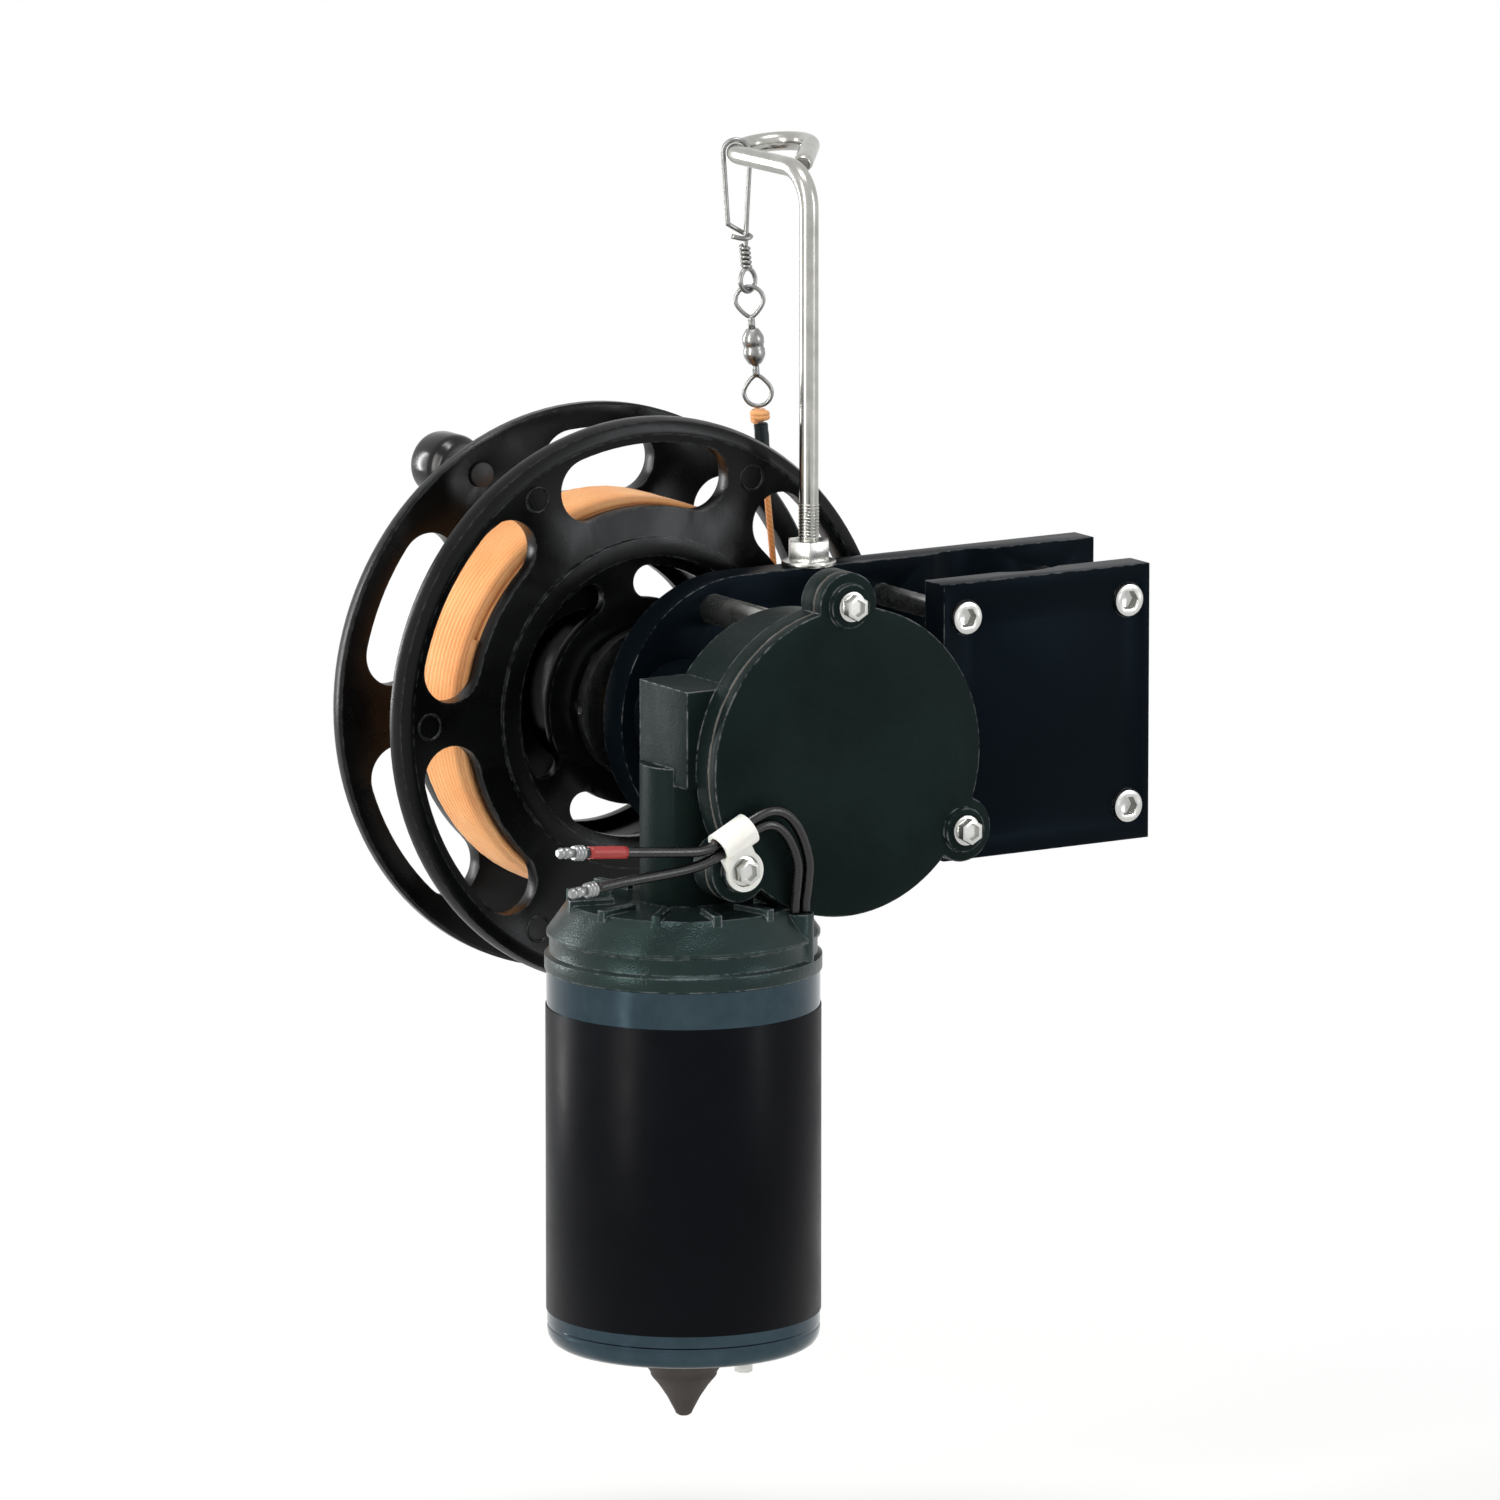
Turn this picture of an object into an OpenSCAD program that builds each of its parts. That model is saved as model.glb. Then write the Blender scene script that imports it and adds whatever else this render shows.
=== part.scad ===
// Electric planer board reel on a mast clamp.
// Frame: the mast axis is +Z, the origin is at the middle of the clamp, and the reel is on the +Y side.

/* [Mast clamp] */
// Outside diameter of the mast that the plates grip
mast_d = 50.8; // [48:0.1:54]
// Angle of mast that each plate's saddle wraps
saddle_angle = 60; // [56:1:66]
// Thickness of both plates
plate_t = 12.7; // [11:0.1:14]
// Height of both plates
plate_h = 101.6; // [100:0.1:108]
// Width of the front clamp plate
clamp_w = 88.9; // [88:0.1:96]
// How far the mounting plate runs past the clamp plate
plate_overhang = 13; // [4:1:20]
// Clamp bolt spacing along the plate
bolt_pitch_x = 69.85; // [68:0.05:72]
// Clamp bolt spacing up the plate
bolt_pitch_z = 76.2; // [70:0.1:80]
// Clamp bolt diameter
bolt_d = 7.94; // [6:0.02:8]
// Clamp bolt head diameter
bolt_head_d = 11.9; // [10.5:0.1:13]
// Clamp bolt head height
bolt_head_h = 7.9; // [7:0.1:9]
// Depth of the recess for each clamp bolt head
bolt_recess = 6.5; // [5:0.1:7.5]
// Across flats of the clamp bolt sockets
bolt_key = 6.35; // [5:0.05:7]

/* [Shaft] */
// Distance from the mast axis to the reel shaft
shaft_offset = 121; // [119:0.5:126]
// Height of the shaft above the clamp's middle
shaft_rise = 2.5; // [0:0.5:5]
// Diameter of the reel shaft
shaft_d = 16; // [14:0.1:17]
// Distance of the mounting plate's round end centre from the shaft
end_shift = 25.7; // [20:0.1:28]

/* [Reel] */
// Diameter of the reel's flanges
reel_d = 209; // [203:1:212]
// Width of the reel over both flanges
reel_w = 50.5; // [46:0.5:55]
// Thickness of each flange's outer ring
flange_t = 8; // [7:0.1:9]
// Thickness of the webs inside the drum
web_t = 4; // [3.5:0.1:5]
// How far each web lies inside the flange's face
web_recess = 6; // [5:0.1:7]
// Outside diameter of the drum
drum_d = 116; // [112:1:120]
// Wall of the drum
drum_wall = 4; // [3:0.1:5]
// Gap between the mounting plate and the reel
reel_gap = 10.3; // [10:0.1:14]
// Number of slots in each flange
slot_n = 6; // [6:1:6]
// Inner radius of the flange slots
slot_r1 = 72; // [70:0.5:74]
// Outer radius of the flange slots
slot_r2 = 95.5; // [92:0.5:97]
// Angle that each slot spans, end to end
slot_angle = 49; // [42:1:51]
// Number of windows in each web
window_n = 3; // [3:1:3]
// Inner radius of the web windows
window_r1 = 38; // [36:0.5:40]
// Outer radius of the web windows
window_r2 = 50; // [47:0.5:51]
// Angle that each window spans
window_angle = 103; // [90:1:105]
// Radius of the reel's hub
hub_r = 29; // [28.5:0.1:30]
// Number of hub screws
hub_screw_n = 8; // [6:1:8]
// Radius of the hub screw circle
hub_screw_r = 23; // [22.5:0.1:24]
// Diameter of the hub screws
hub_screw_d = 4; // [3.5:0.1:4.5]
// Outside diameter of the reel's bush
bush_od = 20; // [19:0.1:21]

/* [Line] */
// Diameter of the planer line
line_d = 2.4; // [2:0.1:2.6]
// Clear gap between neighbouring turns
turn_gap = 0.45; // [0.42:0.01:0.6]
// Diameter of the wound line
wound_d = 148; // [140:1:150]

/* [Line guide] */
// Diameter of the guide rod
rod_d = 7; // [6:0.1:8]
// Distance of the rod from the shaft, along the plate
rod_shift = 58.6; // [54:0.1:62]
// Height of the guide's eye above the shaft
eye_rise = 192.5; // [180:0.5:200]
// Radius of the bend at the top of the rod
rod_bend = 14; // [12:0.5:16]
// Length of the rod's top leg
eye_leg = 46; // [44:0.5:50]
// Radius of the eye's loop
eye_r = 13.5; // [12:0.5:15]
// Angle that the eye's loop turns through
eye_turn = 218; // [205:1:222]
// How much higher the eye's far side stands than its leg
eye_lift = 3; // [0:0.5:4]
// Length of the eye's straight tail
eye_tail = 27; // [20:0.5:28]
// Across flats of the jam nut
nut_af = 14.3; // [12:0.1:15]
// Height of the jam nut
nut_h = 7.5; // [6:0.1:9]

/* [Snap and swivel] */
// Diameter of the snap's wire
snap_wire = 1.8; // [1.5:0.1:2]
// Diameter of the swivel's wire
swivel_wire = 1.6; // [1.4:0.1:1.8]
// Diameter of the swivel's barrel
barrel_d = 8; // [7:0.1:9]
// Length of the swivel's barrel
barrel_l = 13; // [11:0.5:14]

/* [Gearbox] */
// Radius of the round gear cover
cover_r = 55.6; // [54:0.1:57]
// Thickness of the gear cover
cover_t = 4; // [3:0.1:5]
// Radius of the cover's screw circle
cover_screw_r = 56.5; // [56:0.1:57]
// Angle of the ear that holds the lead clip
clip_ear_angle = 217; // [214:1:218]
// Radius of the cover's ears
ear_r = 11.8; // [11:0.1:12.5]
// Diameter of the cover screws
cover_screw_d = 6; // [5:0.1:6.35]
// Thickness of the cover's gasket
gasket_t = 0.8; // [0.5:0.1:1]
// Outer radius of the gear housing
housing_r = 49.5; // [49.3:0.1:50.5]
// Depth of the gear housing
housing_depth = 40; // [39:0.1:42]
// Wall at the back of the gear housing
housing_back = 5; // [4:0.1:6]
// Number of teeth on the worm wheel
wheel_teeth = 56; // [56:1:56]
// Tooth module of the worm drive
gear_module = 1.5; // [1.5:0.1:1.5]
// Pitch radius of the worm
worm_r = 6.5; // [6.5:0.1:6.5]
// Face width of the worm wheel
wheel_w = 9; // [8:0.5:10]
// Distance of the worm axis behind the cover's face
worm_depth = 33; // [32.5:0.1:33.5]
// Diameter of the spacer posts
post_d = 11; // [10:0.1:12]
// Radius of the spacer posts from the shaft
post_r = 39.5; // [38.5:0.1:40]
// Diameter of the mounting screws
mount_screw_d = 6; // [5:0.1:6.4]
// Outer radius of the shaft's bearing sleeve
sleeve_r = 20; // [18:0.1:22]

/* [Motor] */
// Radius of the motor can
can_r = 48.8; // [48:0.1:49.5]
// Length of the motor can
can_l = 137; // [132:0.1:140]
// Distance of the can's top below the shaft
can_drop = 74; // [72.5:0.1:76]
// Wall of the motor can
can_wall = 2.5; // [2:0.1:3]
// Rounding at the can's bottom edge
can_round = 5; // [4:0.1:6]
// Distance of the wrap below the can's top
wrap_top = 13.3; // [11:0.1:14]
// Length of the can's wrap
wrap_l = 111; // [105:0.5:114]
// Thickness of the can's wrap
wrap_t = 0.4; // [0.3:0.1:0.6]
// Height of the bell above the can
bell_h = 24.2; // [23.2:0.1:26]
// Length of the tail cone
cone_l = 27; // [24:0.1:29]
// Radius of the tail cone at the can
cone_r = 15.5; // [14:0.1:17]

/* [Leads] */
// Diameter of the motor leads
lead_d = 3.8; // [3:0.1:4]
// Diameter of the bullet terminals
bullet_d = 4; // [3.5:0.1:4.5]
// Length of the bullet terminals' pins
bullet_l = 6.5; // [6:0.5:8]
// Width of the lead clip
clip_w = 14; // [10:0.5:15]
// Turn of the lead clip from level
clip_turn = 27; // [25:0.5:29]

/* [Hidden] */
$fn = 64;

// clearances
run = 0.05;      // running fit, radial
slip = 0.03;     // screw in its hole, radial
seat = 0.3;      // soft or moving piece beside its neighbour
cut = 1;         // how far a cutting tool runs past a face

// clamp: the plates' inner faces lie inside the mast's own surface by the depth of the saddles
mast_r = mast_d / 2;
inner_y = mast_r * cos(saddle_angle / 2);
outer_y = inner_y + plate_t;
plate_mid_y = inner_y + plate_t / 2;

// shaft and what stands along it, as distances along +Y
shaft_x = -shaft_offset;
shaft_z = shaft_rise;
shaft_r = shaft_d / 2;
cover_y = -91;
gasket_y = cover_y + cover_t;
housing_y = gasket_y + gasket_t;
housing_end = housing_y + housing_depth;
reel_y = outer_y + reel_gap;
reel_end = reel_y + reel_w;
reel_mid = reel_y + reel_w / 2;
wind_y1 = reel_y + flange_t;
wind_y2 = reel_end - flange_t;
web_y1 = reel_y + web_recess;
web_y2 = reel_end - web_recess;
disc_t = 2.5;    // friction discs
drive_t = 5;     // drive plate

module at_shaft() translate([shaft_x, 0, shaft_z]) children();
// a flat outline drawn in X and Z, made solid from y1 to y2
module slab(y1, y2) translate([0, y2, 0]) rotate([90, 0, 0]) linear_extrude(y2 - y1) children();
// a profile of radius and distance along Y, turned round the shaft
module turned() at_shaft() rotate([-90, 0, 0]) rotate_extrude() children();
// a round bar along Y
module bar(r, y1, y2) translate([0, y1, 0]) rotate([-90, 0, 0]) cylinder(r = r, h = y2 - y1);
module ring(r1, r2) difference() { circle(r2); circle(r1); }
module at_angle(a, r) rotate([0, -a, 0]) translate([r, 0, 0]) children();
module around(n, start = 0) for (i = [0 : n - 1]) rotate([0, -start - i * 360 / n, 0]) children();
module hexagon(af) circle(d = af / cos(30), $fn = 6);
module hex_bar(af, h) linear_extrude(h) hexagon(af);
// an arc-shaped slot with round ends, centred on the X axis
module kidney(r1, r2, angle) {
    mid = (r1 + r2) / 2;
    half = (r2 - r1) / 2;
    reach = angle / 2 - half / mid * 180 / PI;
    rim = r2 * 1.6;
    intersection() {
        ring(r1, r2);
        polygon([[0, 0], rim * [cos(reach), -sin(reach)], [rim, 0], rim * [cos(reach), sin(reach)]]);
    }
    // the end circles are a hair smaller, so that they cross the arcs cleanly
    for (s = [-1, 1]) rotate(s * reach) translate([mid, 0]) circle(half - 0.04);
}

// Mast clamp
plate_left = shaft_x + end_shift;
plate_right = clamp_w / 2 + plate_overhang;
bolt_xs = [-bolt_pitch_x / 2, bolt_pitch_x / 2];
bolt_zs = [-bolt_pitch_z / 2, bolt_pitch_z / 2];
rod_x = shaft_x + rod_shift;
rod_hole = 14;
plate_bush_od = 24;
post_angles = [70, 0, -70];

module at_clamp_bolts() for (x = bolt_xs, z = bolt_zs) translate([x, 0, z]) children();
module at_posts() at_shaft() for (a = post_angles) at_angle(a, post_r) children();
module mast() cylinder(r = mast_r, h = plate_h + 2 * cut, center = true);

module mounting_plate() color("#15181a") difference() {
    slab(inner_y, outer_y) union() {
        translate([plate_left, 0]) circle(plate_h / 2);
        translate([plate_left, -plate_h / 2]) square([plate_right - plate_left, plate_h]);
    }
    mast();
    at_clamp_bolts() bar(bolt_d / 2 + slip, inner_y - cut, outer_y + cut);
    at_shaft() bar(plate_bush_od / 2, inner_y - cut, outer_y + cut);
    at_posts() bar(mount_screw_d / 2 + slip, inner_y - cut, outer_y + cut);
    translate([rod_x, plate_mid_y, plate_h / 2 - rod_hole]) cylinder(d = rod_d, h = rod_hole + cut);
}

module clamp_plate() color("#15181a") difference() {
    slab(-outer_y, -inner_y) square([clamp_w, plate_h], center = true);
    mast();
    at_clamp_bolts() bar(bolt_d / 2 + slip, -outer_y - cut, -inner_y + cut);
    at_clamp_bolts() bar(bolt_head_d / 2 + seat, -outer_y - cut, -outer_y + bolt_recess);
}

module clamp_bolts() color("#c9c9c4") at_clamp_bolts() difference() {
    union() {
        bar(bolt_d / 2, -outer_y + bolt_recess, outer_y);
        bar(bolt_head_d / 2, -outer_y + bolt_recess - bolt_head_h, -outer_y + bolt_recess);
    }
    translate([0, -outer_y + bolt_recess - bolt_head_h / 2, 0]) rotate([90, 0, 0])
        hex_bar(bolt_key, bolt_head_h);
}

// Line guide
eye_z = shaft_z + eye_rise;
leg_y = plate_mid_y + eye_leg;
eye_centre = [rod_x + eye_r, leg_y, eye_z];
tail_angle = 180 - eye_turn;
washer_t = 1.6;
washer_r = 10;
washer_z = plate_h / 2;

// the rod's middle line: up, over the bend, out along the leg, round the eye and back along the tail
bend_steps = 8;
eye_steps = 28;
rod_sides = 16;
tail_fall = -eye_lift / eye_tail;
function eye_ray(a) = [cos(a), sin(a), 0];
function eye_point(a) = eye_centre + eye_r * eye_ray(a) + [0, 0, eye_lift * (1 + cos(a)) / 2];
eye_angles = [for (i = [0 : eye_steps]) 180 - eye_turn * i / eye_steps];
rod_points = concat(
    [[rod_x, plate_mid_y, washer_z - rod_hole + 0.5]],
    [for (i = [0 : bend_steps]) let (b = 90 * i / bend_steps)
        [rod_x, plate_mid_y + rod_bend * (1 - cos(b)), eye_z - rod_bend * (1 - sin(b))]],
    [for (a = eye_angles) eye_point(a)],
    [eye_point(tail_angle) + eye_tail * [sin(tail_angle), -cos(tail_angle), tail_fall]]
);
rod_leans = concat(
    [for (i = [0 : bend_steps + 1]) [1, 0, 0]],
    [for (a = eye_angles) -eye_ray(a)],
    [-eye_ray(tail_angle)]
);
module guide_rod() color("#b9b9b3") tube(rod_points, rod_d / 2, rod_sides, rod_leans);

module guide_nut() color("#bdbdbd") translate([rod_x, plate_mid_y, washer_z + washer_t]) difference() {
    hex_bar(nut_af, nut_h);
    translate([0, 0, -cut]) cylinder(r = rod_d / 2 + slip, h = nut_h + 2 * cut);
}

module guide_washer() color("#d0d0cc") translate([rod_x, plate_mid_y, washer_z]) difference() {
    cylinder(r = washer_r, h = washer_t);
    translate([0, 0, -cut]) cylinder(r = rod_d / 2 + slip, h = washer_t + 2 * cut);
}

// Snap and swivel: a chain hanging from the eye toward the point where the line meets the reel
hang_angle = 148;
hang = eye_point(hang_angle);
wound_r = wound_d / 2;
lead_in_r = wound_r + seat + line_d / 2;
lead_in_y = reel_mid + 3;
hang_reach = norm([hang[0] - shaft_x, hang[2] - shaft_z]);
meet_angle = atan2(hang[2] - shaft_z, hang[0] - shaft_x) - acos(lead_in_r / hang_reach);
meet = [shaft_x + lead_in_r * cos(meet_angle), lead_in_y, shaft_z + lead_in_r * sin(meet_angle)];
fall = (meet - hang) / norm(meet - hang);
chain_tilt_x = asin(fall[1]);
chain_tilt_y = atan2(-fall[0], -fall[2]);
arch_r = (rod_d + snap_wire) / 2 + seat;
snap_l = 34.3;
keeper_l = 26;
wrap_r = 2.2;
wrap_h = 9;
small_eye_r = 4.1;
small_eye_turn = 50;
swivel_r = 5.1;
stem_r = 1.3;
stem_l = 5.5;
knot_l = 5.5;
sleeve_l = 11;
small_eye_at = snap_l + wrap_h + small_eye_r;
upper_ring_at = small_eye_at + small_eye_r - (snap_wire + swivel_wire) / 2 - 0.1 + swivel_r;
barrel_at = upper_ring_at + swivel_r + stem_l;
lower_ring_at = barrel_at + barrel_l + stem_l + swivel_r;
knot_at = lower_ring_at + swivel_r + swivel_wire / 2 + 0.1;
sleeve_at = knot_at + knot_l;
line_gap = 0.3;
line_at = sleeve_at + sleeve_l + line_gap;

module at_hang() translate(hang) rotate([chain_tilt_x, chain_tilt_y, 0]) children();
// down the chain, with X square to the eye's wire
module down(s) at_hang() rotate([0, 0, hang_angle]) translate([0, 0, -s]) children();
module wire_ring(r, wire_d) rotate([90, 0, 0]) rotate_extrude()
    translate([r, 0]) circle(d = wire_d, $fn = 24);

// the snap's wire, seen along the eye's wire: hook tip, corner, arch over the eye, then down to the wrap
hook_w = 2.1;
corner_x = arch_r + 0.6;
neck_x = -0.8;
arch_steps = 10;
snap_path = concat(
    [[corner_x - 0.9, hook_w, -keeper_l - 4.4], [neck_x + 1, hook_w, -keeper_l - 5.6],
        [neck_x - 1.8, 0, -keeper_l - 5.4], [neck_x + 1, -hook_w, -keeper_l - 4],
        [corner_x - 0.6, -0.4, -keeper_l - 0.6], [corner_x, 0, -keeper_l + 0.4]],
    [for (i = [0 : arch_steps]) arch_r * [cos(180 * i / arch_steps), 0, sin(180 * i / arch_steps)]],
    [[-arch_r, 0, -3], [neck_x, 0, -snap_l + 3], [neck_x / 2, 0, -snap_l], [0, 0, -snap_l - 2]]
);
module snap_hook() color("#8f918f") {
    down(0) tube(snap_path, snap_wire / 2, 8, spread(len(snap_path), [0.1, 1, 0.05]));
    down(snap_l + wrap_h) cylinder(r = wrap_r, h = wrap_h);
    down(small_eye_at) rotate([0, 0, small_eye_turn]) wire_ring(small_eye_r, snap_wire);
}
module swivel_upper_eye() color("#a3a5a2") {
    down(upper_ring_at) wire_ring(swivel_r, swivel_wire);
    down(barrel_at) cylinder(r = stem_r, h = stem_l);
}
module swivel_barrel() color("#8d8f8c") down(barrel_at + barrel_l) rotate_extrude() polygon([
    [0, 0], [stem_r + 1, 0], [barrel_d / 2, 2], [barrel_d / 2, barrel_l - 2],
    [stem_r + 1, barrel_l], [0, barrel_l]
]);
module swivel_lower_eye() color("#a3a5a2") {
    down(lower_ring_at) wire_ring(swivel_r, swivel_wire);
    down(barrel_at + barrel_l + stem_l) cylinder(r = stem_r, h = stem_l);
}
module line_knot() color("#ef9a4a") down(knot_at + knot_l) rotate_extrude() polygon([
    [0, 0], [2.6, 0], [3.2, 1], [3.8, knot_l - 1], [3, knot_l], [0, knot_l]
]);
module leader_sleeve() color("#2a2624") down(sleeve_at + sleeve_l) cylinder(r = 2.7, h = sleeve_l);

// A tube through points: each ring stands square to the path, one corner leaning along its side vector
function direction(p, i) = let (a = p[max(i - 1, 0)], b = p[min(i + 1, len(p) - 1)]) (b - a) / norm(b - a);
function ring_of(c, t, side, r, n) =
    let (u = side - (side * t) * t, v = u / norm(u), w = cross(t, v))
    [for (k = [0 : n - 1]) c + r * (cos(360 * k / n) * v + sin(360 * k / n) * w)];
module tube(p, r, n, sides) {
    last = len(p) - 1;
    rings = [for (i = [0 : last]) ring_of(p[i], direction(p, i), sides[i], r, n)];
    walls = [for (i = [0 : last - 1], k = [0 : n - 1]) let (a = i * n + k, b = i * n + (k + 1) % n)
        each [[a, a + n, b], [b, a + n, b + n]]];
    starts = [for (k = [1 : n - 2]) [0, k, k + 1]];
    ends = [for (k = [1 : n - 2]) [last * n, last * n + k + 1, last * n + k]];
    polyhedron([for (g = rings) each g], concat(walls, starts, ends));
}
function spread(n, v) = [for (i = [1 : n]) v];

// Free line: round the wound line, then straight up to the sleeve
wrap_steps = 10;
rise_steps = 12;
wrap_span = 50;
line_top = hang + fall * line_at;
free_points = concat(
    [for (i = [0 : wrap_steps]) let (a = meet_angle - wrap_span * (1 - i / wrap_steps))
        [shaft_x + lead_in_r * cos(a), lead_in_y, shaft_z + lead_in_r * sin(a)]],
    [for (i = [1 : rise_steps]) meet + (line_top - meet) * i / rise_steps]
);
module free_line() color("#f2a055") tube(free_points, line_d / 2, 8, spread(len(free_points), [0, 1, 0]));

// Reel: two halves that meet at the middle, bolted through the hub
drum_r = drum_d / 2;
rim_w = 4;
dish_rim = 3;
dish_depth = 1.5;
reel_r = reel_d / 2;
crank_angle = 118.5;
crank_r = reel_r - 11;
crank_bolt_r = 3;
slot_step = 360 / slot_n;
slot_half = slot_angle / 2;
// the rear flange's slots start a little later, and stop short of the solid pad round the crank's bolt
rear_slot_late = 4.5;
crank_pad = 16;
module slot(a, b) rotate((a + b) / 2) kidney(slot_r1, slot_r2, b - a);
module front_slots() for (i = [0 : slot_n - 1])
    slot((i + 0.5) * slot_step - slot_half, (i + 0.5) * slot_step + slot_half);
module rear_slot(middle) {
    off = middle - crank_angle;
    first = off > 0 && off < slot_step ? crank_angle + crank_pad : middle - slot_half + rear_slot_late;
    last = off < 0 && off > -slot_step ? crank_angle - crank_pad : middle + slot_half;
    slot(first, last);
}
module rear_slots() for (i = [0 : slot_n - 1]) rear_slot((i + 0.5) * slot_step);
module windows() for (i = [0 : window_n - 1]) rotate(41.5 + i * 360 / window_n)
    kidney(window_r1, window_r2, window_angle);
// one half, with its flange face at y = 0 and the parting face at half the width
module reel_half() difference() {
    rotate([-90, 0, 0]) rotate_extrude() polygon([
        [bush_od / 2, web_recess], [hub_r, web_recess], [drum_r - drum_wall, web_recess],
        [drum_r - drum_wall, 0], [reel_r - rim_w, 0], [reel_r - 0.3 * rim_w, 0.3 * rim_w], [reel_r, rim_w],
        [reel_r, flange_t - 1],
        [reel_r - 1, flange_t], [drum_r, flange_t], [drum_r, reel_w / 2], [drum_r - drum_wall, reel_w / 2],
        [drum_r - drum_wall, web_recess + web_t], [hub_r, web_recess + web_t], [hub_r, reel_w / 2],
        [bush_od / 2, reel_w / 2]
    ]);
    slab(-cut, flange_t + cut) children();
    slab(web_recess - cut, web_recess + web_t + cut) windows();
    // a shallow dish in the flange's face
    rotate([-90, 0, 0]) rotate_extrude() polygon([
        [drum_r + dish_rim, -cut], [drum_r + dish_rim, dish_depth],
        [reel_r - 2 * dish_rim, dish_depth], [reel_r - 2 * dish_rim, -cut]
    ]);
    around(hub_screw_n) translate([hub_screw_r, 0, 0]) bar(hub_screw_d / 2 + slip, 0, reel_w / 2 + cut);
}
module reel_front_half() color("#1a1b1d") at_shaft() translate([0, reel_y, 0]) reel_half() front_slots();
module reel_rear_half() color("#1a1b1d") difference() {
    at_shaft() translate([0, reel_end, 0]) mirror([0, 1, 0]) reel_half() rear_slots();
    at_shaft() at_angle(crank_angle, crank_r) bar(crank_bolt_r + slip, wind_y2 - cut, reel_end + cut);
}
module reel_bushing() color("#b08d4a") turned() translate([0, web_y1]) polygon([
    [shaft_r + run, 0], [bush_od / 2, 0], [bush_od / 2, web_y2 - web_y1], [shaft_r + run, web_y2 - web_y1]
]);
screw_head_h = 2;
screw_head_r = 3.4;
hub_nut_af = 6;
hub_nut_h = 2.4;
hub_screw_end = web_y2 + hub_nut_h + 0.6;
module at_hub_screws() at_shaft() around(hub_screw_n) translate([hub_screw_r, 0, 0]) children();
module reel_screws() color("#c8c8c4") at_hub_screws() {
    bar(hub_screw_d / 2, web_y1, hub_screw_end);
    bar(screw_head_r, web_y1 - screw_head_h, web_y1);
}
module reel_nuts() color("#c8c8c4") at_hub_screws() difference() {
    translate([0, web_y2 + hub_nut_h, 0]) rotate([90, 0, 0]) hex_bar(hub_nut_af, hub_nut_h);
    bar(hub_screw_d / 2 + slip, web_y2 - cut, hub_screw_end + cut);
}

// Wound line: a plain core under one layer of turns, whose ends turn square to the flanges
tube_r = line_d / 2;
layer_r = wound_r - tube_r;
ring_step = 15;
core_r = layer_r * cos(ring_step / 2) - tube_r - 0.1;
end_bend = 2.2;
end_l = line_d;
lay_w = wind_y2 - wind_y1 - 2 * (end_l + end_bend);
turns = min(24, floor(lay_w / (line_d + turn_gap)));
lay_pitch = lay_w / turns;
bend_rings = 4;
function on_layer(a, y) = [shaft_x + layer_r * cos(a), y, shaft_z + layer_r * sin(a)];
bend_sweep = end_bend / layer_r * 180 / PI;
lay_points = concat(
    [[-bend_sweep, wind_y1], [-bend_sweep, wind_y1 + end_l]],
    [for (i = [1 : bend_rings]) let (b = 90 * i / bend_rings)
        [-bend_sweep * cos(b), wind_y1 + end_l + end_bend * sin(b)]],
    [for (i = [1 : turns * 360 / ring_step - 1])
        [i * ring_step, wind_y1 + end_l + end_bend + lay_pitch * i * ring_step / 360]],
    [for (i = [0 : bend_rings - 1]) let (b = 90 * i / bend_rings)
        [turns * 360 + bend_sweep * sin(b), wind_y2 - end_l - end_bend * cos(b)]],
    [[turns * 360 + bend_sweep, wind_y2 - end_l], [turns * 360 + bend_sweep, wind_y2]]
);
winding_points = [for (q = lay_points) on_layer(q[0], q[1])];
winding_sides = [for (q = lay_points) [cos(q[0]), 0, sin(q[0])]];
loop_rings = 360 / ring_step;
function gap_from(i) = min([for (j = [i + loop_rings / 2 : len(winding_points) - 1])
    norm(winding_points[i] - winding_points[j])]) - line_d;
least_gap = min([for (i = [0 : len(winding_points) - 1 - loop_rings / 2]) gap_from(i)]);
echo(least_gap = least_gap, turns = turns);
module line_core() color("#e8913f") turned() translate([0, wind_y1])
    polygon([[drum_r, 0], [core_r, 0], [core_r, wind_y2 - wind_y1], [drum_r, wind_y2 - wind_y1]]);
module line_winding() color("#f2a055") tube(winding_points, tube_r, 6, winding_sides);

// Crank knob on the rear flange
knob_l = 23.5;
knob_r = 12;
knob_foot_r = 8.5;
knob_y1 = reel_end + 1;
knob_end = knob_y1 + knob_l;
crank_pan_r = 4.5;
crank_pan_h = 1.6;
crank_head_r = 6;
crank_head_h = 2.7;
crank_washer_r = 5;
module at_crank() at_shaft() at_angle(crank_angle, crank_r) children();
module crank_knob() color("#161616") at_crank() rotate([-90, 0, 0]) rotate_extrude() polygon([
    [crank_bolt_r + run, knob_y1], [knob_foot_r, knob_y1], [knob_foot_r, knob_y1 + 4],
    [knob_r - 1, knob_y1 + 7], [knob_r, knob_y1 + 9], [knob_r, knob_end - 3],
    [knob_r - 1, knob_end - 1], [knob_r - 3, knob_end], [crank_bolt_r + run, knob_end]
]);
module crank_bolt() color("#c8c8c4") at_crank() {
    bar(crank_pan_r, wind_y2 - crank_pan_h, wind_y2);
    bar(crank_bolt_r, wind_y2, knob_end + seat);
    bar(crank_head_r, knob_end + seat, knob_end + seat + crank_head_h);
    bar(crank_washer_r, reel_end - dish_depth, knob_y1 - seat);
}

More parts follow.
